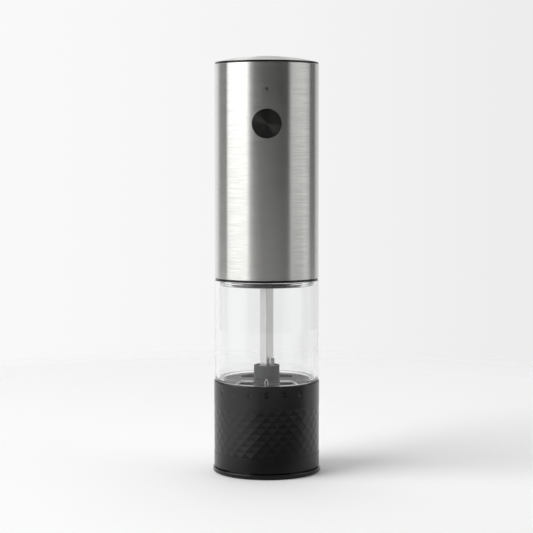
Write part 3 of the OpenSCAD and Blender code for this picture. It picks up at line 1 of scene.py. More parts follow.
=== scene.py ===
# %% [markdown]
# # A rechargeable spice grinder, dressed for its portrait
#
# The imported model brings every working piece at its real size: burrs, gears, motor, battery and shells.
# This script adds what a camera sees: rounded edges, brushed steel, clear plastic, moulded black plastic,
# a soft studio and the camera. Each piece that shows from outside is made again here as a finer mesh on
# the same sizes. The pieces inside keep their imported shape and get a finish.

# %% Load the frame
import json
import math

import bmesh
import bpy
from mathutils import Matrix, Vector


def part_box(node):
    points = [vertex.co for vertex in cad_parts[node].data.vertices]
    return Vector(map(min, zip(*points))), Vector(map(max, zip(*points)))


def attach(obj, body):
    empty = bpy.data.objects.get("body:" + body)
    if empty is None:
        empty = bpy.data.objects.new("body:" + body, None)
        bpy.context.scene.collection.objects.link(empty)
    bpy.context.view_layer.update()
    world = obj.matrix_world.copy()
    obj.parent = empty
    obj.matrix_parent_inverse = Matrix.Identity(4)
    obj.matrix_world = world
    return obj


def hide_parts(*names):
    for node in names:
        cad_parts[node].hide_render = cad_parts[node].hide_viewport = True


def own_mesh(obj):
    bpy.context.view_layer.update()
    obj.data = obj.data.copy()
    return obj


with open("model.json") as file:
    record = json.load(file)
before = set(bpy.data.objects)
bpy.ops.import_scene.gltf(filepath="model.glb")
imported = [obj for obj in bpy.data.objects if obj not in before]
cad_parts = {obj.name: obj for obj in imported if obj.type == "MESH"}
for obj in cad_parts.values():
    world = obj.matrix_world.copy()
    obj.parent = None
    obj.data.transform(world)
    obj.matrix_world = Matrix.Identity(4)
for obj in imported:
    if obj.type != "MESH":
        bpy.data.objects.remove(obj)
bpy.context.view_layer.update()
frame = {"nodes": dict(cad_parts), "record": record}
nodes = frame["nodes"]
bodies = frame["record"]["behaviour"]["bodies"]
body_of = {node: body for body, members in bodies.items() for node in members}
slot_of = {part["node"]: part["material_slot"] for part in frame["record"]["subparts"]}

# %% [markdown]
# ## Sizes
#
# A mesh made here has to fit the piece it stands for, so heights and radii are read from the frame's
# boxes. A box tells nothing of walls, bores and roundings: those sizes are written where they are used, in
# millimetres, and `MM` turns them into Blender's metres.

# %% Sizes read from the frame
MM = 0.001


def radius_of(node):
    """Radius of a round node about the upright axis, in millimetres."""
    low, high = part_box(node)
    return (high.x - low.x) / 2 / MM


def foot_of(node):
    """Height of the node's lowest point, in millimetres."""
    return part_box(node)[0].z / MM


def top_of(node):
    """Height of the node's highest point, in millimetres."""
    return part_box(node)[1].z / MM


outside = radius_of("steel_sleeve")

# %% [markdown]
# ## Shader maths as sums
#
# A procedural finish is arithmetic on noise. Written as nodes it fills pages, so one small class wraps an
# output socket and overloads the operators: `0.3 + 0.1 * noise` then adds its two Math nodes by itself.
# The reflected forms make `1 - mask` work too.

# %% A signal, for sums
class Signal:
    """The output of a shader node, used in sums like a number."""

    def __init__(self, board, socket):
        self.board = board
        self.socket = socket

    def maths(self, operation, *terms):
        """A Math node on these terms."""
        return self.board.node("Math", {"operation": operation}, dict(enumerate(terms)))

    def __add__(self, other):
        return self.maths("ADD", self, other)

    def __radd__(self, other):
        return self.maths("ADD", other, self)

    def __sub__(self, other):
        return self.maths("SUBTRACT", self, other)

    def __rsub__(self, other):
        return self.maths("SUBTRACT", other, self)

    def __mul__(self, other):
        return self.maths("MULTIPLY", self, other)

    def __rmul__(self, other):
        return self.maths("MULTIPLY", other, self)

    def larger(self, other):
        """The larger of the two at each point."""
        return self.maths("MAXIMUM", self, other)

    def rise(self, start, end):
        """0 below start, 1 above end, with a soft step between."""
        ends = {"Value": self, "From Min": start, "From Max": end}
        return self.board.node("MapRange", {"interpolation_type": "SMOOTHSTEP"}, ends)


print("a signal adds, subtracts and multiplies")

# %% [markdown]
# A board is one tree of nodes. Its `node` method makes every node: the settings are set first, then the
# sockets are fed. Colours and vectors don't survive a Math node, so `shade` mixes colours with Mix and
# `place` stretches positions with Vector Math.

# %% A board, for wiring
# Mix has sockets of the same name for each kind of data, so the ones for colour go by their number.
MIX_MASK, MIX_DARK, MIX_LIGHT, MIX_RESULT = 0, 6, 7, 2


def even_grey(level):
    """A grey without any tint."""
    return (level, level, level)


class Board:
    """A node tree being wired, for a material or for the world."""

    def __init__(self, tree):
        self.tree = tree

    def node(self, kind, settings=None, sockets=None, output=0):
        """Any node: its type, its settings, the values or signals of its sockets, and its output."""
        made = self.tree.nodes.new("ShaderNode" + kind)
        for name, value in (settings or {}).items():
            if name == "stops":
                self.set_stops(made.color_ramp, value)
            else:
                setattr(made, name, value)
        for name, value in (sockets or {}).items():
            self.feed(made.inputs[name], value)
        return Signal(self, made.outputs[output])

    def set_stops(self, ramp, stops):
        """Gives a new ramp these stops, which are pairs of place and grey level."""
        ramp.elements.remove(ramp.elements[1])
        ramp.elements[0].position = stops[0][0]
        for place, grey in stops[1:]:
            ramp.elements.new(place)
        for element, (place, grey) in zip(ramp.elements, stops):
            element.color = (*even_grey(grey), 1)

    def feed(self, socket, value):
        """Links a signal to the socket, or sets a plain value on it."""
        if isinstance(value, Signal):
            self.tree.links.new(value.socket, socket)
        else:
            socket.default_value = value

    def place(self, stretch):
        """Position on the piece, in metres, times a stretch along each axis."""
        position = self.node("TexCoord", output="Object")
        return self.node("VectorMath", {"operation": "MULTIPLY"}, {0: position, 1: stretch})

    def noise(self, stretch, detail):
        """Noise from 0 to 1, with about that many spots per metre along each axis."""
        ends = {"Vector": self.place(stretch), "Scale": 1, "Detail": detail}
        return self.node("TexNoise", None, ends)

    def shade(self, mask, dark, light):
        """A colour between two, by a mask. Each is three numbers or a signal."""
        dark, light = (colour if isinstance(colour, Signal) else (*colour, 1) for colour in (dark, light))
        ends = {MIX_MASK: mask, MIX_DARK: dark, MIX_LIGHT: light}
        return self.node("Mix", {"data_type": "RGBA"}, ends, output=MIX_RESULT)

    def bump(self, height, depth):
        """A normal that follows a height of 0 to 1 over that depth in metres."""
        return self.node("Bump", None, {"Height": height, "Distance": depth, "Strength": 1})


print("a board makes nodes and wires them")

# %% [markdown]
# ## Finishes
#
# Each finish is one function that returns a material. `start_finish` sets the numbers that are the same all
# over on the shader itself, where an export keeps them. `paint` links only what varies: colour, roughness
# and the bump that bends the normal.

# %% Starting a finish
def start_finish(name, constants):
    """A new material, its board and its surface shader, with the even values set."""
    material = bpy.data.materials.new(name)
    material.use_nodes = True
    board = Board(material.node_tree)
    surface = material.node_tree.nodes["Principled BSDF"]
    for socket, value in constants.items():
        surface.inputs[socket].default_value = value
    return material, board, surface


def paint(board, surface, **links):
    """Links what varies: colour, roughness or normal."""
    names = {"colour": "Base Color", "roughness": "Roughness", "normal": "Normal"}
    for word, signal in links.items():
        board.feed(surface.inputs[names[word]], signal)


def scaled(colour, factor, lift=0):
    """The colour made darker or lighter by a factor, and lifted a little."""
    return tuple(min(1, factor * part + lift) for part in colour)


print("a finish starts with its even values, then gets what varies")

# %% [markdown]
# ### Brushed steel
#
# The sleeve is stainless tube, brushed round and round with a belt. The scratches run along the
# circumference, so the metal spreads a reflection up and down and keeps it crisp from side to side: the
# softboxes turn into upright bands. A plain rough metal would blur the bands both ways, and scratches made
# as bumps alone would only turn to grit at this distance. Blender's anisotropy does what is wanted, after a
# quarter turn, because its tangent runs round the axis. Noise that is long across and very short in height
# draws the faint lines in two widths, and a slow cloud keeps the polish from being perfectly even.

# %% Brushed steel
def steel_tint(grey):
    """Stainless steel is a grey that lacks a little blue."""
    return (grey, 0.995 * grey, 0.965 * grey)


def brushed_steel(name, grey, roughness, lines_per_metre):
    quarter_turn = 0.25
    constants = {"Metallic": 1, "Anisotropic": 1, "Anisotropic Rotation": quarter_turn}
    material, board, surface = start_finish(name, constants)
    wide_lines = board.noise((90, 90, lines_per_metre), detail=2)
    thin_lines = board.noise((400, 400, 3 * lines_per_metre), detail=2)
    cloud = board.noise((40, 40, 60), detail=3)
    scratches = 0.7 * wide_lines + 0.3 * thin_lines
    scratch_depth = 0.000004
    paint(
        board,
        surface,
        colour=board.shade(scratches.rise(0.4, 0.6), steel_tint(grey * 0.93), steel_tint(grey * 1.06)),
        roughness=roughness - 0.04 + 0.02 * scratches + 0.05 * cloud,
        normal=board.bump(scratches, scratch_depth),
    )
    return material


print("brushed steel spreads a reflection across its scratches")

# %% [markdown]
# ### Moulded plastics
#
# The blacks, greys and colours differ only in gloss, grain and level, so one function makes them all. Every
# moulding shows faint flow marks, in colour and in gloss. A matt one also carries a spark-eroded grain,
# which is a bump too small to see singly but that breaks up every highlight. Modelling the grain would need
# millions of faces, and a bump gives the same sparkle.

# %% Moulded plastic
def moulded_plastic(name, colour, roughness, grain_depth, shine=0.5):
    """Moulded plastic. The depth of its grain is in metres."""
    material, board, surface = start_finish(name, {"Specular IOR Level": shine})
    grains_per_metre = 2500
    grain = board.noise((grains_per_metre,) * 3, detail=3)
    flow = board.noise((90, 90, 60), detail=4)
    paint(
        board,
        surface,
        colour=board.shade(flow.rise(0.35, 0.65), scaled(colour, 0.9), scaled(colour, 1.12, lift=0.001)),
        roughness=roughness - 0.04 + 0.05 * flow + 0.05 * grain,
        normal=board.bump(grain, grain_depth),
    )
    return material


print("moulded plastic has grain and flow marks")

# %% [markdown]
# ### Clear plastic
#
# The hopper is moulded clear plastic with a real wall, so it is a refracting solid. A thin see-through film
# would render faster, but it would lose the bright lines in the wall. A path tracer treats such a solid as
# opaque to the lamps, which would leave the shaft and the feed plate in the dark, so for shadow rays alone
# the material is swapped for a plain transparent one. A faint haze varies its colour and its gloss.

# %% Clear plastic
def clear_plastic(name, bending):
    """Clear plastic that bends light by that much, its index of refraction."""
    constants = {"Transmission Weight": 1, "IOR": bending}
    material, board, surface = start_finish(name, constants)
    haze = board.noise((70, 70, 45), detail=4)
    cloudy, clear, shadow = (0.975, 0.98, 0.98), (0.995, 0.997, 0.997), (0.93, 0.94, 0.94, 1)
    paint(board, surface, colour=board.shade(haze, cloudy, clear), roughness=0.012 * haze)
    shadow_ray = board.node("LightPath", output="Is Shadow Ray")
    window = board.node("BsdfTransparent", None, {"Color": shadow})
    solid = Signal(board, surface.outputs["BSDF"])
    both = board.node("MixShader", None, {0: shadow_ray, 1: solid, 2: window})
    board.feed(material.node_tree.nodes["Material Output"].inputs["Surface"], both)
    return material


print("clear plastic bends light and lets shadows through")

# %% [markdown]
# ### Metals inside, and ceramic
#
# The shaft is drawn bar with marks along its length. Screws and pins are plated steel with cloudy wear, the
# motor's shell is a duller steel, its contacts are bronze and its windings copper. A finish for each would
# repeat the same nodes, so all are one metal whose marks are stretched along each axis as the piece needs.
# The burrs are fired ceramic: off-white, slightly mottled, with a dry bump.

# %% Inner metals and ceramic
def drawn_metal(name, colour, roughness, marks_per_metre):
    """Metal with marks, as many per metre along each axis."""
    material, board, surface = start_finish(name, {"Metallic": 1})
    marks = board.noise(marks_per_metre, detail=3)
    cloud = board.noise((150, 150, 150), detail=3)
    mark_bump = 0.000008
    paint(
        board,
        surface,
        colour=board.shade(marks, scaled(colour, 0.88), scaled(colour, 1.08)),
        roughness=roughness - 0.05 + 0.06 * marks + 0.08 * cloud,
        normal=board.bump(marks, mark_bump),
    )
    return material


def fired_ceramic(name):
    """Off-white and dry, with fine grit."""
    material, board, surface = start_finish(name, {"Specular IOR Level": 0.4})
    grit = board.noise((4000, 4000, 4000), detail=4)
    mottle = board.noise((220, 220, 220), detail=3)
    darker_spot, paler_spot = (0.7, 0.67, 0.6), (0.84, 0.82, 0.77)
    grit_depth = 0.00003
    paint(
        board,
        surface,
        colour=board.shade(mottle.rise(0.3, 0.7), darker_spot, paler_spot),
        roughness=0.45 + 0.2 * grit,
        normal=board.bump(grit, grit_depth),
    )
    return material


print("metals and ceramic complete the finishes")

# %% [markdown]
# ## Making meshes
#
# Nearly every piece of a mill comes off a lathe or out of a round mould. No moulded or turned edge is
# perfectly sharp, and it is the rounding that catches the light. A Bevel modifier could round the edges
# afterwards, but it gives one width for all. So here each corner of an outline carries its own rounding.

# %% Outlines with rounded corners
def rounded(corners, steps=5):
    """The outline through corners (x, y, rounding) in millimetres, with an arc at each rounded corner."""
    outline = []
    for index, (x, y, rounding) in enumerate(corners):
        corner = Vector((x, y))
        before = (Vector(corners[index - 1][:2]) - corner).normalized()
        after = (Vector(corners[(index + 1) % len(corners)][:2]) - corner).normalized()
        if rounding == 0:
            outline.append(corner)
            continue
        half = before.angle(after) / 2
        start = corner + before * rounding / math.tan(half)
        end = corner + after * rounding / math.tan(half)
        centre = corner + (before + after).normalized() * rounding / math.sin(half)
        for step in range(steps + 1):
            chord = start.lerp(end, step / steps)
            outline.append(centre + (chord - centre).normalized() * rounding)
    return outline


def circle(radius, count):
    """The corners of a circle, which need no rounding."""
    turns = [2 * math.pi * k / count for k in range(count)]
    return [(radius * math.cos(turn), radius * math.sin(turn), 0) for turn in turns]


tile = rounded([(0, 0, 1), (9, 0, 1), (9, 9, 1), (0, 9, 1)])
print("a square with four rounded corners has", len(tile), "points")

# %% [markdown]
# Two helpers turn an outline into a solid: one spins it about the upright axis like a lathe, the other pulls
# it up to a prism. Blender's Screw and Solidify modifiers could do this too, but plain loops put every
# vertex where the sizes say, and a point on the axis stays one vertex.

# %% Turning and pulling an outline
def add_piece(name, shape):
    """A new object from a bmesh, which is used up."""
    data = bpy.data.meshes.new(name)
    bmesh.ops.recalc_face_normals(shape, faces=shape.faces)
    shape.to_mesh(data)
    shape.free()
    piece = bpy.data.objects.new(name, data)
    bpy.context.scene.collection.objects.link(piece)
    return piece


def turn_outline(name, corners, segments=240):
    """A closed piece of revolution; a point on the axis closes to a single vertex."""
    shape = bmesh.new()
    turns = [2 * math.pi * k / segments for k in range(segments)]
    near_axis = 0.0001
    rings = []
    for radius, height in rounded(corners):
        if radius < near_axis:
            rings.append([shape.verts.new((0, 0, height * MM))] * segments)
            continue
        spots = [(radius * MM * math.sin(a), -radius * MM * math.cos(a), height * MM) for a in turns]
        rings.append([shape.verts.new(spot) for spot in spots])
    for ring, following in zip(rings, rings[1:] + rings[:1]):
        for k in range(segments):
            loop = list(dict.fromkeys((ring[k - 1], ring[k], following[k], following[k - 1])))
            if len(loop) > 2:
                shape.faces.new(loop)
    return add_piece(name, shape)


def extrude_outline(name, corners, low, high, steps=5):
    """A closed prism of that outline between two heights."""
    shape = bmesh.new()
    outline = rounded(corners, steps)
    base = [shape.verts.new((x * MM, y * MM, low * MM)) for x, y in outline]
    top = [shape.verts.new((x * MM, y * MM, high * MM)) for x, y in outline]
    shape.faces.new(base[::-1])
    shape.faces.new(top)
    for k in range(len(outline)):
        shape.faces.new((base[k - 1], base[k], top[k], top[k - 1]))
    return add_piece(name, shape)


print("an outline becomes a turned piece or a prism")

# %% [markdown]
# Holes are cut with Booleans, because a hole through a round wall has no simple outline. A cutter is drawn
# upright, which is easier, and `face_front` lays it down so that its height points to the front.

# %% Cutting and joining
def carve(piece, cutters, operation="DIFFERENCE"):
    """Cuts the cutters out of the piece, or joins them to it, and deletes them."""
    for cutter in cutters:
        step = piece.modifiers.new("carve", "BOOLEAN")
        step.operation = operation
        step.solver = "EXACT"
        step.object = cutter
    evaluated = piece.evaluated_get(bpy.context.evaluated_depsgraph_get())
    result = bpy.data.meshes.new_from_object(evaluated)
    piece.modifiers.clear()
    piece.data = result
    for cutter in cutters:
        bpy.data.objects.remove(cutter)


def face_front(piece, height):
    """Turns an upright piece so that its height runs from the axis towards the front, at that height."""
    laid_down = Matrix.Rotation(math.radians(90), 4, "X")
    piece.data.transform(Matrix.Translation((0, 0, height * MM)) @ laid_down)
    return piece


print("a cutter is gone once it has cut")

# %% [markdown]
# What remains sharp after cutting gets a small Bevel, limited by angle so that it leaves the round walls
# alone. Weighted normals then keep the large flat faces flat up to their rounded edges.

# %% Softening edges
def round_edges(piece, width, angle, steps=3):
    """Rounds edges sharper than the angle; the width is in millimetres."""
    edge = piece.modifiers.new("edge", "BEVEL")
    edge.width = width * MM
    edge.segments = steps
    edge.limit_method = "ANGLE"
    edge.angle_limit = math.radians(angle)
    return edge


def weigh_normals(piece):
    """Lets large faces decide the normals at their edges."""
    even = piece.modifiers.new("even", "WEIGHTED_NORMAL")
    even.keep_sharp = True


def soften(piece, width=0, angle=0, steps=3):
    """Rounds sharp edges if a width is given, and shades the piece smooth but for its corners."""
    corner_angle = 50
    if width:
        round_edges(piece, width, angle, steps).miter_outer = "MITER_ARC"
    piece.data.shade_smooth()
    piece.data.set_sharp_from_angle(angle=math.radians(corner_angle))
    weigh_normals(piece)
    return piece


def stand_for(piece, node):
    """The piece takes the place and the motion of that node, which is hidden."""
    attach(piece, body_of[node])
    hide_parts(node)
    print(piece.name, "stands for", node, "with", len(piece.data.polygons), "faces")


print("a softened piece is ready to stand for its node")

# %% [markdown]
# ## The head's sleeve
#
# The sleeve is a drawn steel tube with a wall under a millimetre. Its two ends are deburred, which shows as
# one thin bright line. A cylinder given a thickness would have sharp ends, so the wall is one closed outline
# that is turned, with a rounding at each of its corners.

# %% The sleeve
sleeve_foot = foot_of("steel_sleeve")
sleeve_top = top_of("steel_sleeve")
sleeve_bore = outside - 0.8
sleeve = turn_outline(
    "sleeve",
    [
        (sleeve_bore, sleeve_foot, 0.1),
        (outside, sleeve_foot, 0.25),
        (outside, sleeve_top, 0.3),
        (sleeve_bore, sleeve_top, 0.1),
    ],
    segments=360,
)
print("the sleeve is", round(sleeve_top - sleeve_foot, 1), "mm long")

# %% [markdown]
# The button's hole, the pinhole for the light and the charging slot at the back are punched, so their edges
# are rolled in slightly: a small bevel on the cut edges gives that.

# %% The holes in the sleeve
button_height = 173.7
button_hole = 7.15
light_height = 190.4
pinhole = 0.75
socket_height = 136.0
slot_half_width, slot_half_height, slot_rounding = 4.75, 1.9, 1.89
through_front = (20, 30)
through_back = (-30, -20)
slot_outline = [
    (side * slot_half_width, up * slot_half_height, slot_rounding)
    for side, up in ((1, -1), (1, 1), (-1, 1), (-1, -1))
]
carve(sleeve, [
    face_front(extrude_outline("hole", circle(button_hole, 96), *through_front), button_height),
    face_front(extrude_outline("pinhole", circle(pinhole, 32), *through_front), light_height),
    face_front(extrude_outline("slot", slot_outline, *through_back, steps=12), socket_height),
])
stand_for(soften(sleeve, 0.1, angle=50), "steel_sleeve")

# %% [markdown]
# ## The domed cap
#
# The cap is a shallow spun dome. A scaled sphere would meet the rim too steeply, so the outline follows a
# large circle that passes through the rim and the crown, and a small rounding leads over to the rim's edge.
# Under it the cap is hollow, with a stud in the middle that goes down through the ring.

# %% The domed cap
rim = radius_of("top_cap")
rim_height = sleeve_top + 1.0
crown = top_of("top_cap")
dome_height = crown - rim_height
dome_radius = (rim**2 + dome_height**2) / (2 * dome_height)


def dome_line(radius, inset=0):
    """Points over the dome from that radius to its middle, that far under its surface."""
    ball = dome_radius - inset
    centre = crown - dome_radius
    count = 14
    places = [radius * (count - k) / count for k in range(count + 1)]
    return [(r, centre + math.sqrt(ball**2 - r**2), 0) for r in places]


hollow = rim - 2.4
dome_wall = 1.2
rim_edge = 0.02
stud = 4.0
stud_foot = sleeve_top - 1.0
over = dome_line(rim)
over[0] = (rim, over[0][1] + rim_edge, rim_edge)
under = dome_line(hollow, inset=dome_wall)[:-1]
stud_line = [(stud, under[-1][1], 0), (stud, stud_foot, 0.3), (0, stud_foot, 0)]
inner_line = [point for point in under if point[0] > stud]
rim_line = [(hollow, rim_height, 0), (rim, rim_height, 0)]
dome = turn_outline("dome", over + stud_line[::-1] + inner_line[::-1] + rim_line)
stand_for(soften(dome, 0.12, angle=40), "top_cap")

# %% [markdown]
# ## The dark ring
#
# A black plastic ring parts the cap from the sleeve. It is set back a little, so it reads as a thin shadow
# line between two steels. A dark stripe painted on the steel would have no depth, so it is turned as the
# real piece is, with the skirt that plugs into the sleeve and a hole for the cap's stud.

# %% The dark ring
ring_r = radius_of("top_ring")
stud_hole = stud + 0.05
skirt_foot = foot_of("top_ring")
skirt_bore, skirt_r = 23.7, 25.1
dark_ring = turn_outline("dark_ring", [
    (stud_hole, sleeve_top, 0.1),
    (skirt_bore, sleeve_top, 0),
    (skirt_bore, skirt_foot, 0.2),
    (skirt_r, skirt_foot, 0.2),
    (skirt_r, sleeve_top, 0),
    (ring_r, sleeve_top, 0.15),
    (ring_r, rim_height, 0.15),
    (stud_hole, rim_height, 0.1),
])
stand_for(soften(dark_ring), "top_ring")

# %% [markdown]
# ## The base of the head
#
# Under the sleeve comes a black moulding: a lip that stands almost flush, and a collar that plugs into the
# clear tube. The photograph shows clear plastic to both sides of the collar and black only in its middle. A
# collar that is black all over would hide that, so it is made in two: this black core, and a clear silicone
# ring round it with air between.

# %% The base of the head
collar_foot = foot_of("head_base")
spigot_top = top_of("head_base")
seat = sleeve_foot
plate_under, plate_over = seat - 1.0, seat + 1.4
boss_bore, boss_r = 5.25, 6.95
core_bore, core_r = 16.4, 17.9
spigot_bore, spigot_r = 22.6, 25.1
lip_r = 25.7
collar_base = turn_outline("collar_base", [
    (boss_bore, collar_foot, 0.3),
    (boss_r, collar_foot, 0.3),
    (boss_r, plate_under, 0.3),
    (core_bore, plate_under, 0.2),
    (core_bore, collar_foot, 0.3),
    (core_r, collar_foot, 0.5),
    (core_r, plate_under, 0.3),
    (lip_r, plate_under, 0.2),
    (lip_r, seat, 0.15),
    (spigot_r, seat, 0),
    (spigot_r, spigot_top, 0.3),
    (spigot_bore, spigot_top, 0.3),
    (spigot_bore, plate_over, 0.2),
    (boss_bore, plate_over, 0.2),
])
stand_for(soften(collar_base), "head_base")

# %% [markdown]
# The clear ring is the collar's outer wall, and its fine lip seals the hopper. If it touched the black core
# it would magnify it until black filled the whole width, so the gap between them matters more than the
# ring's own shape.

# %% The sealing ring of the collar
seal_top = plate_under - 0.05
seal_bore, seal_r, seal_lip_r = 21.4, 23.4, 23.55
lip_height = (foot_of("head_seal") + top_of("head_seal")) / 2
lip_slope = 0.4
seal_ring = turn_outline("seal_ring", [
    (seal_bore, seal_top, 0.1),
    (seal_bore, collar_foot, 0.4),
    (seal_r, collar_foot, 0.5),
    (seal_r, lip_height - lip_slope, 0.2),
    (seal_lip_r, lip_height, 0.3),
    (seal_r, lip_height + lip_slope, 0.2),
    (seal_r, seal_top, 0.1),
])
stand_for(soften(seal_ring), "head_seal")

# %% [markdown]
# ## The clear hopper
#
# The hopper is one moulding: a thick clear tube above, a shoulder, and a narrower neck that the grip turns
# on. It could be cylinders joined by Booleans, but then a seam at every step could catch the light. One
# closed outline has both walls of the tube, and the bright line at its edge is light that runs inside them.

# %% The clear hopper
tube_top = top_of("hopper_tube")
neck_foot = foot_of("hopper_tube")
shoulder = 46.2
inner_shoulder = shoulder + 1.5
plate_seat = 44.0
tube_bore = 23.8
plate_recess = 21.7
neck_bore, neck_r = 20.4, 23.6
hopper = turn_outline("hopper", [
    (neck_bore, neck_foot, 0.2),
    (neck_r, neck_foot, 0.3),
    (neck_r, shoulder, 0.2),
    (outside, shoulder, 0.35),
    (outside, tube_top, 0.35),
    (tube_bore, tube_top, 0.35),
    (tube_bore, inner_shoulder, 0.3),
    (plate_recess, inner_shoulder, 0.2),
    (plate_recess, plate_seat, 0.1),
    (neck_bore, plate_seat, 0.2),
])
print("the tube's wall is", round(outside - tube_bore, 1), "mm")

# %% [markdown]
# The little pointer at the front shows which setting is chosen. It is fused to the tube with a Boolean, so
# that no face is left inside the plastic, where it would show as a seam. Three screws hold the grinding
# works from below, and their holes are cut into the neck.

# %% The pointer and the screw holes
pointer_half, pointer_side, pointer_tip = 0.75, 2.8, 4.0
pointer_outline = [
    (-pointer_half, 0.01, 0),
    (pointer_half, 0.01, 0),
    (pointer_half, pointer_side, 0.15),
    (0, pointer_tip, 0.2),
    (-pointer_half, pointer_side, 0.15),
]
pointer = extrude_outline("pointer", pointer_outline, outside - 1.1, outside + 0.25)
carve(hopper, [face_front(pointer, shoulder)], "UNION")

screw_circle = 22.0
screw_r = 1.0
screw_depth = 9
screw_holes = []
for turn in (90, 210, 330):
    hole = extrude_outline("screw_hole", circle(screw_r, 24), neck_foot - 1, neck_foot + screw_depth)
    angle = math.radians(turn)
    spot = Vector((screw_circle * MM * math.cos(angle), screw_circle * MM * math.sin(angle), 0))
    hole.data.transform(Matrix.Translation(spot))
    screw_holes.append(hole)
carve(hopper, screw_holes)
stand_for(soften(hopper), "hopper_tube")

# %% [markdown]
# The pointer shows as a pale line of light along its edge, more on its left than on its right. Clear plastic
# on clear plastic is all but invisible, so a thin arch painted pale grey, a painted highlight, is laid on the
# pointer. It is a piece of its own, because its finish differs.

# %% The pointer's painted highlight
arch = [(0.9, 0.05), (0.9, 2.6), (0, 3.9), (-0.9, 2.6), (-0.9, 0.05)]
arch += [(-0.5, 0.05), (-0.5, 2.45), (0, 3.2), (0.5, 2.45), (0.5, 0.05)]
arch_shift = 0.15
arch_outline = [(across - arch_shift, up, 0.04) for across, up in arch]
pointer_highlight = extrude_outline("pointer_highlight", arch_outline, outside - 0.2, outside + 0.3, steps=2)
soften(face_front(pointer_highlight, shoulder))
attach(pointer_highlight, body_of["hopper_tube"])
print("the pointer's edge has", len(pointer_highlight.data.polygons), "faces")

# %% [markdown]
# ## The lips of the feed plate's windows
#
# The two front windows of the feed plate have a low lip along their back and outer edges, which shows as a
# pale line. A pale colour alone would have no edge to catch the light, and the plate keeps its imported mesh,
# so each lip is a small prism that stands on it, painted pale grey as a painted highlight. The left one
# mirrors the right one.

# %% The lips of the front windows
plate_top = plate_seat + 2.0
lip_foot, lip_top = plate_top - 0.4, plate_top + 0.45
lip_corners = [(6.6, -6.9), (12.75, -6.9), (14.35, -18.6), (13.95, -18.6), (12.4, -7.3), (6.6, -7.3)]
window_lips = []
for side, word in ((1, "right"), (-1, "left")):
    outline = [(side * across, back, 0.06) for across, back in lip_corners]
    window_lip = extrude_outline("window_lip_" + word, outline, lip_foot, lip_top, steps=2)
    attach(soften(window_lip), body_of["feed_plate"])
    window_lips.append(window_lip)
print(len(window_lips), "lips on the plate")

# %% [markdown]
# ## The drive shaft
#
# A square aluminium bar stands in the hopper with one corner to the front, so the eye sees two faces and the
# dark line of the edge between them. The bar is drawn, so its edges have a real rounding: a rounded square
# is pulled up to a prism. At its foot the bar is turned down to a round journal, which is joined to it.

# %% The drive shaft
shaft_foot = foot_of("drive_shaft")
shaft_top = top_of("drive_shaft")
bar_width = 4.8
bar_foot = 22.5
bar_rounding = 0.2
journal_r, journal_top = 2, bar_foot + 0.5
half_diagonal = bar_width / math.sqrt(2)
square = [
    (side * half_diagonal, back * half_diagonal, bar_rounding)
    for side, back in ((1, 0), (0, 1), (-1, 0), (0, -1))
]
journal_outline = [
    (0, shaft_foot, 0), (journal_r, shaft_foot, 0.3), (journal_r, journal_top, 0), (0, journal_top, 0)
]
shaft = extrude_outline("shaft", square, bar_foot, shaft_top, steps=4)
carve(shaft, [turn_outline("journal", journal_outline, segments=64)], "UNION")
stand_for(soften(shaft, 0.15, angle=60), "drive_shaft")

# %% [markdown]
# ## The grip
#
# The grip is a black ring with smooth bands above and below, and between them a field of flat triangles like
# a cut stone. A bump could hint at the triangles, but it would leave the outline straight and the glints
# wrong. So the bands and the core are turned, and the field is a ring of real faces that overlaps the core.

# %% The grip's turned body
grip_foot = foot_of("grip_shell")
grip_top = top_of("grip_shell")
grip_r = radius_of("grip_shell")
rows = 8
columns = 30
row_height = 3.025
field_foot = grip_foot + 7.2
field_top = field_foot + rows * row_height
core = grip_r - 0.7
ledge = neck_foot + 0.3
grip_bore, neck_hole = 25.0, 23.7
grip = turn_outline("grip", [
    (grip_bore, grip_foot, 0.2),
    (grip_r, grip_foot, 0.35),
    (grip_r, field_foot, 0.04),
    (core, field_foot, 0),
    (core, field_top, 0),
    (grip_r, field_top, 0.06),
    (grip_r, grip_top, 0.4),
    (neck_hole, grip_top, 0.2),
    (neck_hole, ledge, 0.1),
    (grip_bore, ledge, 0),
])
print("the field is", round(field_top - field_foot, 1), "mm high")

# %% [markdown]
# Six shallow round dimples mark the settings. Each is cut by a ball that is much larger than the dimple and
# stands almost wholly outside the grip, which gives a dish with a soft rim. A printed dot would not catch
# the light as these do.

# %% The marks for the six settings
mark_height = grip_top - 4.2
mark_r = 1.55
mark_depth = 0.22
mark_step = 19
mark_ball = (mark_r**2 + mark_depth**2) / (2 * mark_depth)
ball_centre = grip_r - mark_depth + mark_ball
places = range(-3, 3)
marks = []
for place in places:
    mark = bmesh.new()
    bmesh.ops.create_uvsphere(mark, u_segments=48, v_segments=24, radius=mark_ball * MM)
    ball = add_piece("mark", mark)
    spot = Vector((0, -ball_centre * MM, mark_height * MM))
    turned = Matrix.Rotation(math.radians(mark_step * place), 4, "Z")
    ball.data.transform(turned @ Matrix.Translation(spot))
    marks.append(ball)
carve(grip, marks)
soften(grip, 0.08, angle=20, steps=2)
print(len(marks), "marks, from", mark_step * places[0], "to", mark_step * places[-1], "degrees")

# %% [markdown]
# The triangles' corners lie on a circle, in rows of thirty, and every second row starts half a place round.
# The corners are joined to flat faces, and each edge between them is rounded very slightly, as a mould
# leaves it. Then the two open rims are pulled inward and bridged, so that the field is a closed ring.

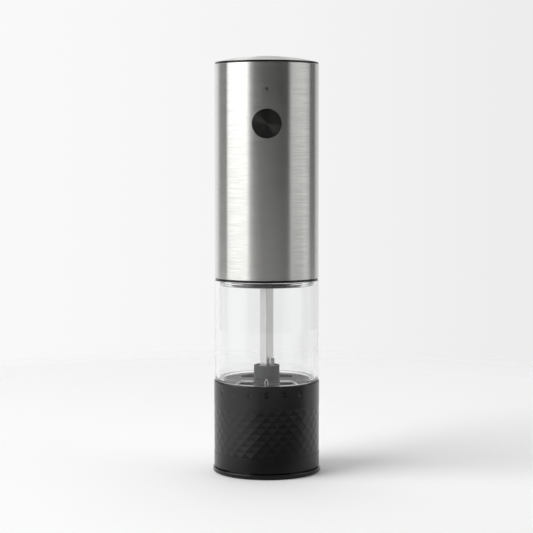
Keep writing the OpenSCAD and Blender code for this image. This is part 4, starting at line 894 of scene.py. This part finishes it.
# %% The field of triangles
def field_of_triangles(name, corner_r, inner_r, rounding):
    shape = bmesh.new()
    lines = []
    for line in range(rows + 1):
        shift = 0.5 if line % 2 == 0 else 0
        turns = [2 * math.pi * (column + shift) / columns - math.pi / 2 for column in range(columns)]
        height = field_top - line * row_height
        spots = [(corner_r * MM * math.cos(a), corner_r * MM * math.sin(a), height * MM) for a in turns]
        lines.append([shape.verts.new(spot) for spot in spots])
    for line in range(rows):
        upper, lower = lines[line], lines[line + 1]
        for k in range(columns):
            after = (k + 1) % columns
            if line % 2 == 0:
                shape.faces.new((upper[k], lower[after], upper[after]))
                shape.faces.new((lower[k], lower[after], upper[k]))
            else:
                shape.faces.new((upper[k], lower[k], upper[after]))
                shape.faces.new((lower[k], lower[after], upper[after]))
    ridges = [e for e in shape.edges if not e.is_boundary]
    bmesh.ops.bevel(shape, geom=ridges, offset=rounding * MM, segments=2, profile=0.5, affect="EDGES")
    rims = [e for e in shape.edges if e.is_boundary]
    made = bmesh.ops.extrude_edge_only(shape, edges=rims)["geom"]
    for vertex in (v for v in made if isinstance(v, bmesh.types.BMVert)):
        flat = Vector((vertex.co.x, vertex.co.y)).normalized() * inner_r * MM
        vertex.co = (flat.x, flat.y, vertex.co.z)
    inner_rims = [e for e in made if isinstance(e, bmesh.types.BMEdge) and e.is_boundary]
    bmesh.ops.bridge_loops(shape, edges=inner_rims)
    return add_piece(name, shape)


field = field_of_triangles("grip_facets", grip_r - 0.04, core - 0.3, 0.12)
soften(field)
stand_for(grip, "grip_shell")
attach(field, body_of["grip_shell"])
print("triangles:", 2 * rows * columns)

# %% [markdown]
# ## The base cap
#
# The cap that catches what falls out is a glossy cup with a wide flange. Only the flange shows: its rounded
# lower and upper edges are what the eye reads, as two thin lights on black. The cup goes up inside the grip,
# and as it can be pulled off, it is turned whole and not only where it shows.

# %% The base cap
cap_r = radius_of("base_cap")
cap_top = top_of("base_cap")
flange_top = 2.4
cup_floor = 1.6
cup_bore, cup_r = 23.5, 24.9
cup = turn_outline("cup", [
    (0, 0, 0),
    (cap_r - 1.2, 0, 0.3),
    (cap_r, 0.5, 0.6),
    (cap_r, flange_top, 0.4),
    (cup_r, flange_top, 0.1),
    (cup_r, cap_top, 0.3),
    (cup_bore, cap_top, 0.3),
    (cup_bore, cup_floor, 0.8),
    (0, cup_floor, 0),
])
stand_for(soften(cup), "base_cap")

# %% [markdown]
# ## The button
#
# The button is a black disc with a spun face, so its highlight opens to a bow tie across the middle. A
# painted bow tie would stay put when the light moves. The steel's anisotropy makes a real one, but its
# tangent has to run round the button's own axis: the piece is therefore turned upright, with its face at
# height 0, and the object is then swung to face the front. Behind the face come a flange, which keeps the
# button in its hole, and a stem.

# %% The button
button_face = -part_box("push_button")[0].y / MM
stem_end = -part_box("push_button")[1].y / MM
flange_front = 23.5
front_of_flange = flange_front - button_face
back_of_flange = front_of_flange - 1.2
end_of_stem = stem_end - button_face
stem_r, flange_r, face_r = 2, 8.2, 6.85
button = turn_outline(
    "button",
    [
        (0, 0, 0),
        (0, end_of_stem, 0),
        (stem_r, end_of_stem, 0.2),
        (stem_r, back_of_flange, 0),
        (flange_r, back_of_flange, 0.2),
        (flange_r, front_of_flange, 0.2),
        (face_r, front_of_flange, 0),
        (face_r, 0, 0.3),
    ],
    segments=128,
)
button_place = Matrix.Translation((0, -button_face * MM, button_height * MM))
button.matrix_world = button_place @ Matrix.Rotation(math.radians(90), 4, "X")
stand_for(soften(button), "push_button")

# %% [markdown]
# ## Dressing by slot
#
# The record gives every node a material slot, so one dictionary from slot to finish dresses both the pieces
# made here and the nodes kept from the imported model. The plastics and the metals are tables, so that their
# numbers can be compared at a glance. The blacks are written darker than they look, because the room that
# they mirror adds its own grey.

# %% Plastics and metals by slot
# Each plastic's colour, its roughness, the depth of its grain in metres and, where it isn't 0.5, its shine.
plastics = {
    "feed_grey": ((0.05, 0.05, 0.051), 0.42, 0.000006, 0.15),
    "inner_black": (even_grey(0.012), 0.5, 0.00001),
    "grip_black": ((0.002, 0.002, 0.0022), 0.25, 0.000003),
    "gloss_black": ((0.005, 0.005, 0.0054), 0.08, 0.0000003),
    "gear_plastic": ((0.72, 0.7, 0.64), 0.45, 0.000004),
    "magnet": ((0.05, 0.048, 0.046), 0.55, 0.00002),
    "cell_wrap": ((0.02, 0.16, 0.3), 0.25, 0.000002),
    "board_green": ((0.01, 0.1, 0.035), 0.3, 0.000005),
    "switch_black": (even_grey(0.015), 0.4, 0.000005),
    "switch_white": ((0.75, 0.74, 0.7), 0.4, 0.000005),
    # The light guide behind the pinhole is painted dark grey: painted shade for the hole it sits in.
    "light_clear": ((0.05, 0.05, 0.052), 0.15, 0.000001),
    "wire_red": ((0.45, 0.02, 0.015), 0.4, 0.000005),
}
# Each metal's colour, its roughness, and its marks per metre along each axis.
metals = {
    "hardware_steel": ((0.6, 0.6, 0.59), 0.35, (400, 400, 400)),
    "bronze": ((0.62, 0.42, 0.2), 0.35, (400, 400, 400)),
    "shaft_aluminium": ((0.68, 0.68, 0.67), 0.3, (3000, 3000, 30)),
    "motor_steel": ((0.5, 0.5, 0.49), 0.4, (300, 300, 900)),
    "copper": ((0.75, 0.36, 0.2), 0.3, (900, 900, 4000)),
}
# Each brushed steel's grey, its roughness, and its scratches per metre of height.
steels = {
    "sleeve_steel": (0.64, 0.24, 3500),
    "dome_steel": (0.65, 0.32, 3500),
    "button_black": (0.07, 0.65, 3000),
}
print(len(plastics), "plastics,", len(metals), "metals and", len(steels), "brushed steels")

# %% [markdown]
# The tables become materials, and the few finishes that stand alone join them. Clear plastic needs its
# index of refraction: that of acrylic for the hopper and that of silicone for the sealing ring.

# %% One finish for each slot
acrylic_bending, silicone_bending = 1.49, 1.41
finish_for = {
    "clear_plastic": clear_plastic("clear_plastic", acrylic_bending),
    "seal_rubber": clear_plastic("seal_rubber", silicone_bending),
    "ceramic": fired_ceramic("ceramic"),
}
for recipe, table in ((moulded_plastic, plastics), (drawn_metal, metals), (brushed_steel, steels)):
    for slot, numbers in table.items():
        finish_for[slot] = recipe(slot, *numbers)
print(len(finish_for), "finishes")

# %% [markdown]
# The pieces made here are dressed first. The pointer's edge and the lips of the windows get a pale grey of
# their own: a painted highlight for the light along their edges, paler than the plastic round them.

# %% Dressing the pieces made here
def dress(piece, slot):
    """Gives the piece the finish of that slot and no other."""
    piece.data.materials.clear()
    piece.data.materials.append(finish_for[slot])


made_pieces = [
    (sleeve, "steel_sleeve"), (dome, "top_cap"), (dark_ring, "top_ring"), (collar_base, "head_base"),
    (seal_ring, "head_seal"), (hopper, "hopper_tube"), (shaft, "drive_shaft"), (grip, "grip_shell"),
    (field, "grip_shell"), (cup, "base_cap"), (button, "push_button"),
]
for piece, node in made_pieces:
    dress(piece, slot_of[node])
# Painted highlight: the pointer's arch is pale grey to stand in for the light along its edge.
pointer_highlight.data.materials.append(moulded_plastic("painted_edge_highlight", even_grey(0.5), 0.4, 0.000002))
# Painted highlight: the lips are pale grey to stand in for the light along the windows' edges.
lip_highlight_grey = moulded_plastic("lip_highlight_grey", even_grey(0.8), 0.4, 0.000002)
for window_lip in window_lips:
    window_lip.data.materials.append(lip_highlight_grey)
print(len(made_pieces), "pieces are dressed")

# %% [markdown]
# ## The nodes kept from the imported model
#
# The nodes kept as they came have sharp edges. Those seen through the hopper get rounded ones by
# modifiers, which leave the imported mesh itself alone: the corners are welded first, because an imported mesh
# comes with its faces parted along every hard edge. The socket and the housing are seen in the shade, where
# their slot's finish would be too dark, so they are painted a lighter grey of their own: painted light that
# lifts that shade.

# %% Nodes kept from the imported model
seen_inside = {"feed_plate": 0.25, "shaft_socket": 0.15, "outer_burr": 0.15, "burr_housing": 0.15}
weld_distance = 0.000002
# Painted light: lighter greys that lift the shade on the socket and the housing.
shade_lifted_finish = {
    "shaft_socket": moulded_plastic("socket_grey", even_grey(0.2), 0.35, 0.000004),
    "burr_housing": moulded_plastic("housing_grey", even_grey(0.14), 0.45, 0.000006),
}
for node, piece in nodes.items():
    for slot_holder in piece.material_slots:
        slot_holder.material = shade_lifted_finish.get(node, finish_for[slot_of[node]])
    if node in seen_inside:
        piece.modifiers.new("weld", "WELD").merge_threshold = weld_distance
        round_edges(piece, seen_inside[node], angle=50)
        weigh_normals(piece)
print(len(seen_inside), "nodes with rounded edges")

# %% [markdown]
# ## The return spring
#
# The return spring stands between the inner burr and the feed plate, so it gets shorter when the grip lifts
# the burr. A copy of the imported spring stands for it here, because the imported mesh itself must not change.
# The copy is not made to flatten as the burr rises, and a rigid spring would poke into the burr.

# %% The return spring
spring = bpy.data.objects.new("spring", nodes["return_spring"].data.copy())
bpy.context.scene.collection.objects.link(spring)
dress(spring, slot_of["return_spring"])
stand_for(spring, "return_spring")
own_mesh(spring)

# %% [markdown]
# ## The studio
#
# Steel shows the room more than itself, so the room is drawn with care: a broad softbox stands on the left,
# the wall behind the camera and to its right is dark, and a pale wall follows further right. Panels of light
# could stand there, but each would need its own place and power. The world holds the same room as a grey
# level for each compass direction, and a list of degrees is quick to adjust.

# %% Directions and the walls
walls_by_degree = [
    (-180, 0.95), (-142, 1.0), (-123, 0.34), (-100, 0.27), (-97, 1.0), (-46, 0.9), (-37, 0.3),
    (-22, 0.13), (-5, 0.05), (30, 0.01), (46, 0.02), (50.5, 0.2), (57, 0.72), (75, 0.86), (92, 0.8),
    (107, 0.62), (112, 0.18), (130, 0.18), (138, 0.6), (180, 0.95),
]
softbox_by_degree = [(-180, 0), (-99, 0), (-96, 1), (-45, 1), (-36, 0.2), (-28, 0), (180, 0)]


def azimuth_stops(levels):
    """Ramp stops for pairs of degrees and level; the ramp's middle is the side of the camera."""
    return [((degrees + 180) / 360, level) for degrees, level in levels]


world = bpy.data.worlds.new("studio")
world.use_nodes = True
bpy.context.scene.world = world
sky = Board(world.node_tree)
direction = sky.node("TexCoord", output="Generated")
right, back, up = (sky.node("SeparateXYZ", None, {0: direction}, output=axis) for axis in range(3))
turns_per_radian = 1 / (2 * math.pi)
azimuth = right.maths("ARCTAN2", right, 0 - back) * turns_per_radian + 0.5
walls = sky.node("ValToRGB", {"stops": azimuth_stops(walls_by_degree)}, {0: azimuth})
softbox = sky.node("ValToRGB", {"stops": azimuth_stops(softbox_by_degree)}, {0: azimuth})
print("the room has", len(walls_by_degree), "levels of light round it")

# %% [markdown]
# Above the walls comes the ceiling, which the dome mirrors. It is dark over the camera and pale towards the
# back, the right and straight above. The softbox adds its power between two heights.

# %% The ceiling and the softbox
softbox_power = 2.6
dark_ceiling, pale_behind, pale_right = 0.03, 0.85, 0.5
softbox_height = up.rise(0.1, 0.2) * (1 - up.rise(0.75, 0.82))
overhead = up.rise(0.6, 0.75)
ceiling = (
    dark_ceiling + pale_behind * back.rise(-0.05, 0.4) + pale_right * right.rise(0.25, 0.6)
    + up.rise(0.92, 0.97)
)
light = walls * (1 - overhead) + ceiling * overhead + softbox_power * softbox * softbox_height
print("the softbox adds up to", softbox_power, "to the walls")

# %% [markdown]
# The camera doesn't see this room but an even pale backdrop, a little darker to the right. So does a ray
# that goes straight through the hopper, or the clear tube would look like a dark glass. A ray that has
# been mirrored on its way and has passed several walls does see the room: it draws the lines in the tube.

# %% The backdrop
backdrop_grey, backdrop_fall = 0.949, 0.127
through_walls = sky.node("LightPath", output="Transmission Depth").rise(3.2, 3.8)
mirrored = sky.node("LightPath", output="Glossy Depth").rise(0.2, 0.8) * through_walls
straight = sky.node("LightPath", output="Is Transmission Ray") * (1 - mirrored)
seen = sky.node("LightPath", output="Is Camera Ray").larger(straight)
backdrop = backdrop_grey - backdrop_fall * right.rise(-0.2, 0.3)
background = world.node_tree.nodes["Background"]
background.inputs["Color"].default_value = (1, 1, 1, 1)
sky.feed(background.inputs["Strength"], seen * backdrop + (1 - seen) * light)
print("the backdrop goes from", backdrop_grey, "to", round(backdrop_grey - backdrop_fall, 3))

# %% [markdown]
# ## The floor
#
# The floor is a pale round table top. It takes the soft shadow, and to the eye it fades out before it ends,
# so that no horizon shows behind the object. Black plastic would mirror so pale a floor as a grey haze,
# which the photograph doesn't have. So it is dim in a field just in front of the object and on to the right,
# but only for rays that don't look at the floor itself. Further out in front it stays pale, because brushed
# steel spreads its reflection down to the floor and takes some of its light from there.

# %% The floor
def table_top(name, grey, dim, middle, fade_from, fade_to):
    """Pale when looked at, and fading out between two distances from its middle."""
    material, board, surface = start_finish(name, {"Roughness": 0.75, "Specular IOR Level": 0.3})
    grain = board.noise((900, 900, 900), detail=3)
    ends = {0: board.place((1, 1, 0)), 1: middle}
    distance = board.node("VectorMath", {"operation": "DISTANCE"}, ends, output="Value")
    looked_at = board.node("LightPath", output="Is Camera Ray")
    looked_at = looked_at.larger(board.node("LightPath", output="Is Transmission Ray"))
    position = board.place((1, 1, 1))
    right, back = (board.node("SeparateXYZ", None, {0: position}, output=axis) for axis in range(2))
    at_left = 1 - right.rise(-0.1, -0.02)
    behind = back.rise(-0.06, 0.02)
    far_in_front = 1 - back.rise(-0.28, -0.2)
    stays_pale = at_left.larger(behind.larger(far_in_front))
    pale = board.shade(grain, even_grey(grey * 0.985), even_grey(grey * 1.01))
    paint(board, surface, colour=board.shade(looked_at.larger(stays_pale), even_grey(dim), pale))
    board.feed(surface.inputs["Alpha"], (1 - distance.rise(fade_from, fade_to)).larger(1 - looked_at))
    return material


floor_radius = 0.65
disc = bmesh.new()
bmesh.ops.create_circle(disc, cap_ends=True, segments=96, radius=floor_radius)
floor = add_piece("floor", disc)
table_finish = table_top("table_top", grey=0.93, dim=0.15, middle=(0, 0.12, 0), fade_from=0.26, fade_to=0.4)
floor.data.materials.append(table_finish)
print("the floor is", 2 * floor_radius, "m across")

# %% [markdown]
# ## The lamp
#
# A big soft lamp hangs above, to the left and a little in front. It gives the floor its light and throws the
# soft shadow to the right. The larger a lamp is, the softer its shadow, so it is a wide disc and not a
# point. No reflection shows it, because what the steel mirrors is the room alone.

# %% The lamp above
lamp_width = 0.7
lamp_watts = 3.4
lamp_place = (-0.65, -0.3, 0.9)
lamp_aim = Vector((0, 0, 0.05))
lamp_light = bpy.data.lights.new("lamp", "AREA")
lamp_light.shape = "DISK"
lamp_light.size = lamp_width
lamp_light.energy = lamp_watts
lamp = bpy.data.objects.new("lamp", lamp_light)
lamp.location = lamp_place
lamp.rotation_euler = (lamp_aim - lamp.location).to_track_quat("-Z", "Y").to_euler()
lamp.visible_glossy = False
lamp.visible_transmission = False
bpy.context.scene.collection.objects.link(lamp)
print("the lamp hangs", round((lamp_aim - lamp.location).length, 2), "m away")

# %% [markdown]
# ## The camera
#
# The photograph looks down by about four degrees, with a long lens: the ellipses of the rims give the
# angle, and their change from bottom to top gives the distance.

# %% The camera
focal_length = 106.67
looking_down = 4.158
camera_place = (-0.0001, -0.7886, 0.1602)
lens = bpy.data.cameras.new("camera")
lens.lens = focal_length
lens.sensor_width = 36
lens.clip_start = 0.01
camera = bpy.data.objects.new("camera", lens)
camera.location = camera_place
camera.rotation_euler = (math.radians(90 - looking_down), 0, 0)
bpy.context.scene.collection.objects.link(camera)
bpy.context.scene.camera = camera
bpy.context.scene.view_settings.view_transform = "Standard"
print("the camera stands", round(abs(camera.location.y), 2), "m in front")

# %% Sizes and the end
def corners(box):
    return [[round(value, 6) for value in corner] for corner in box]
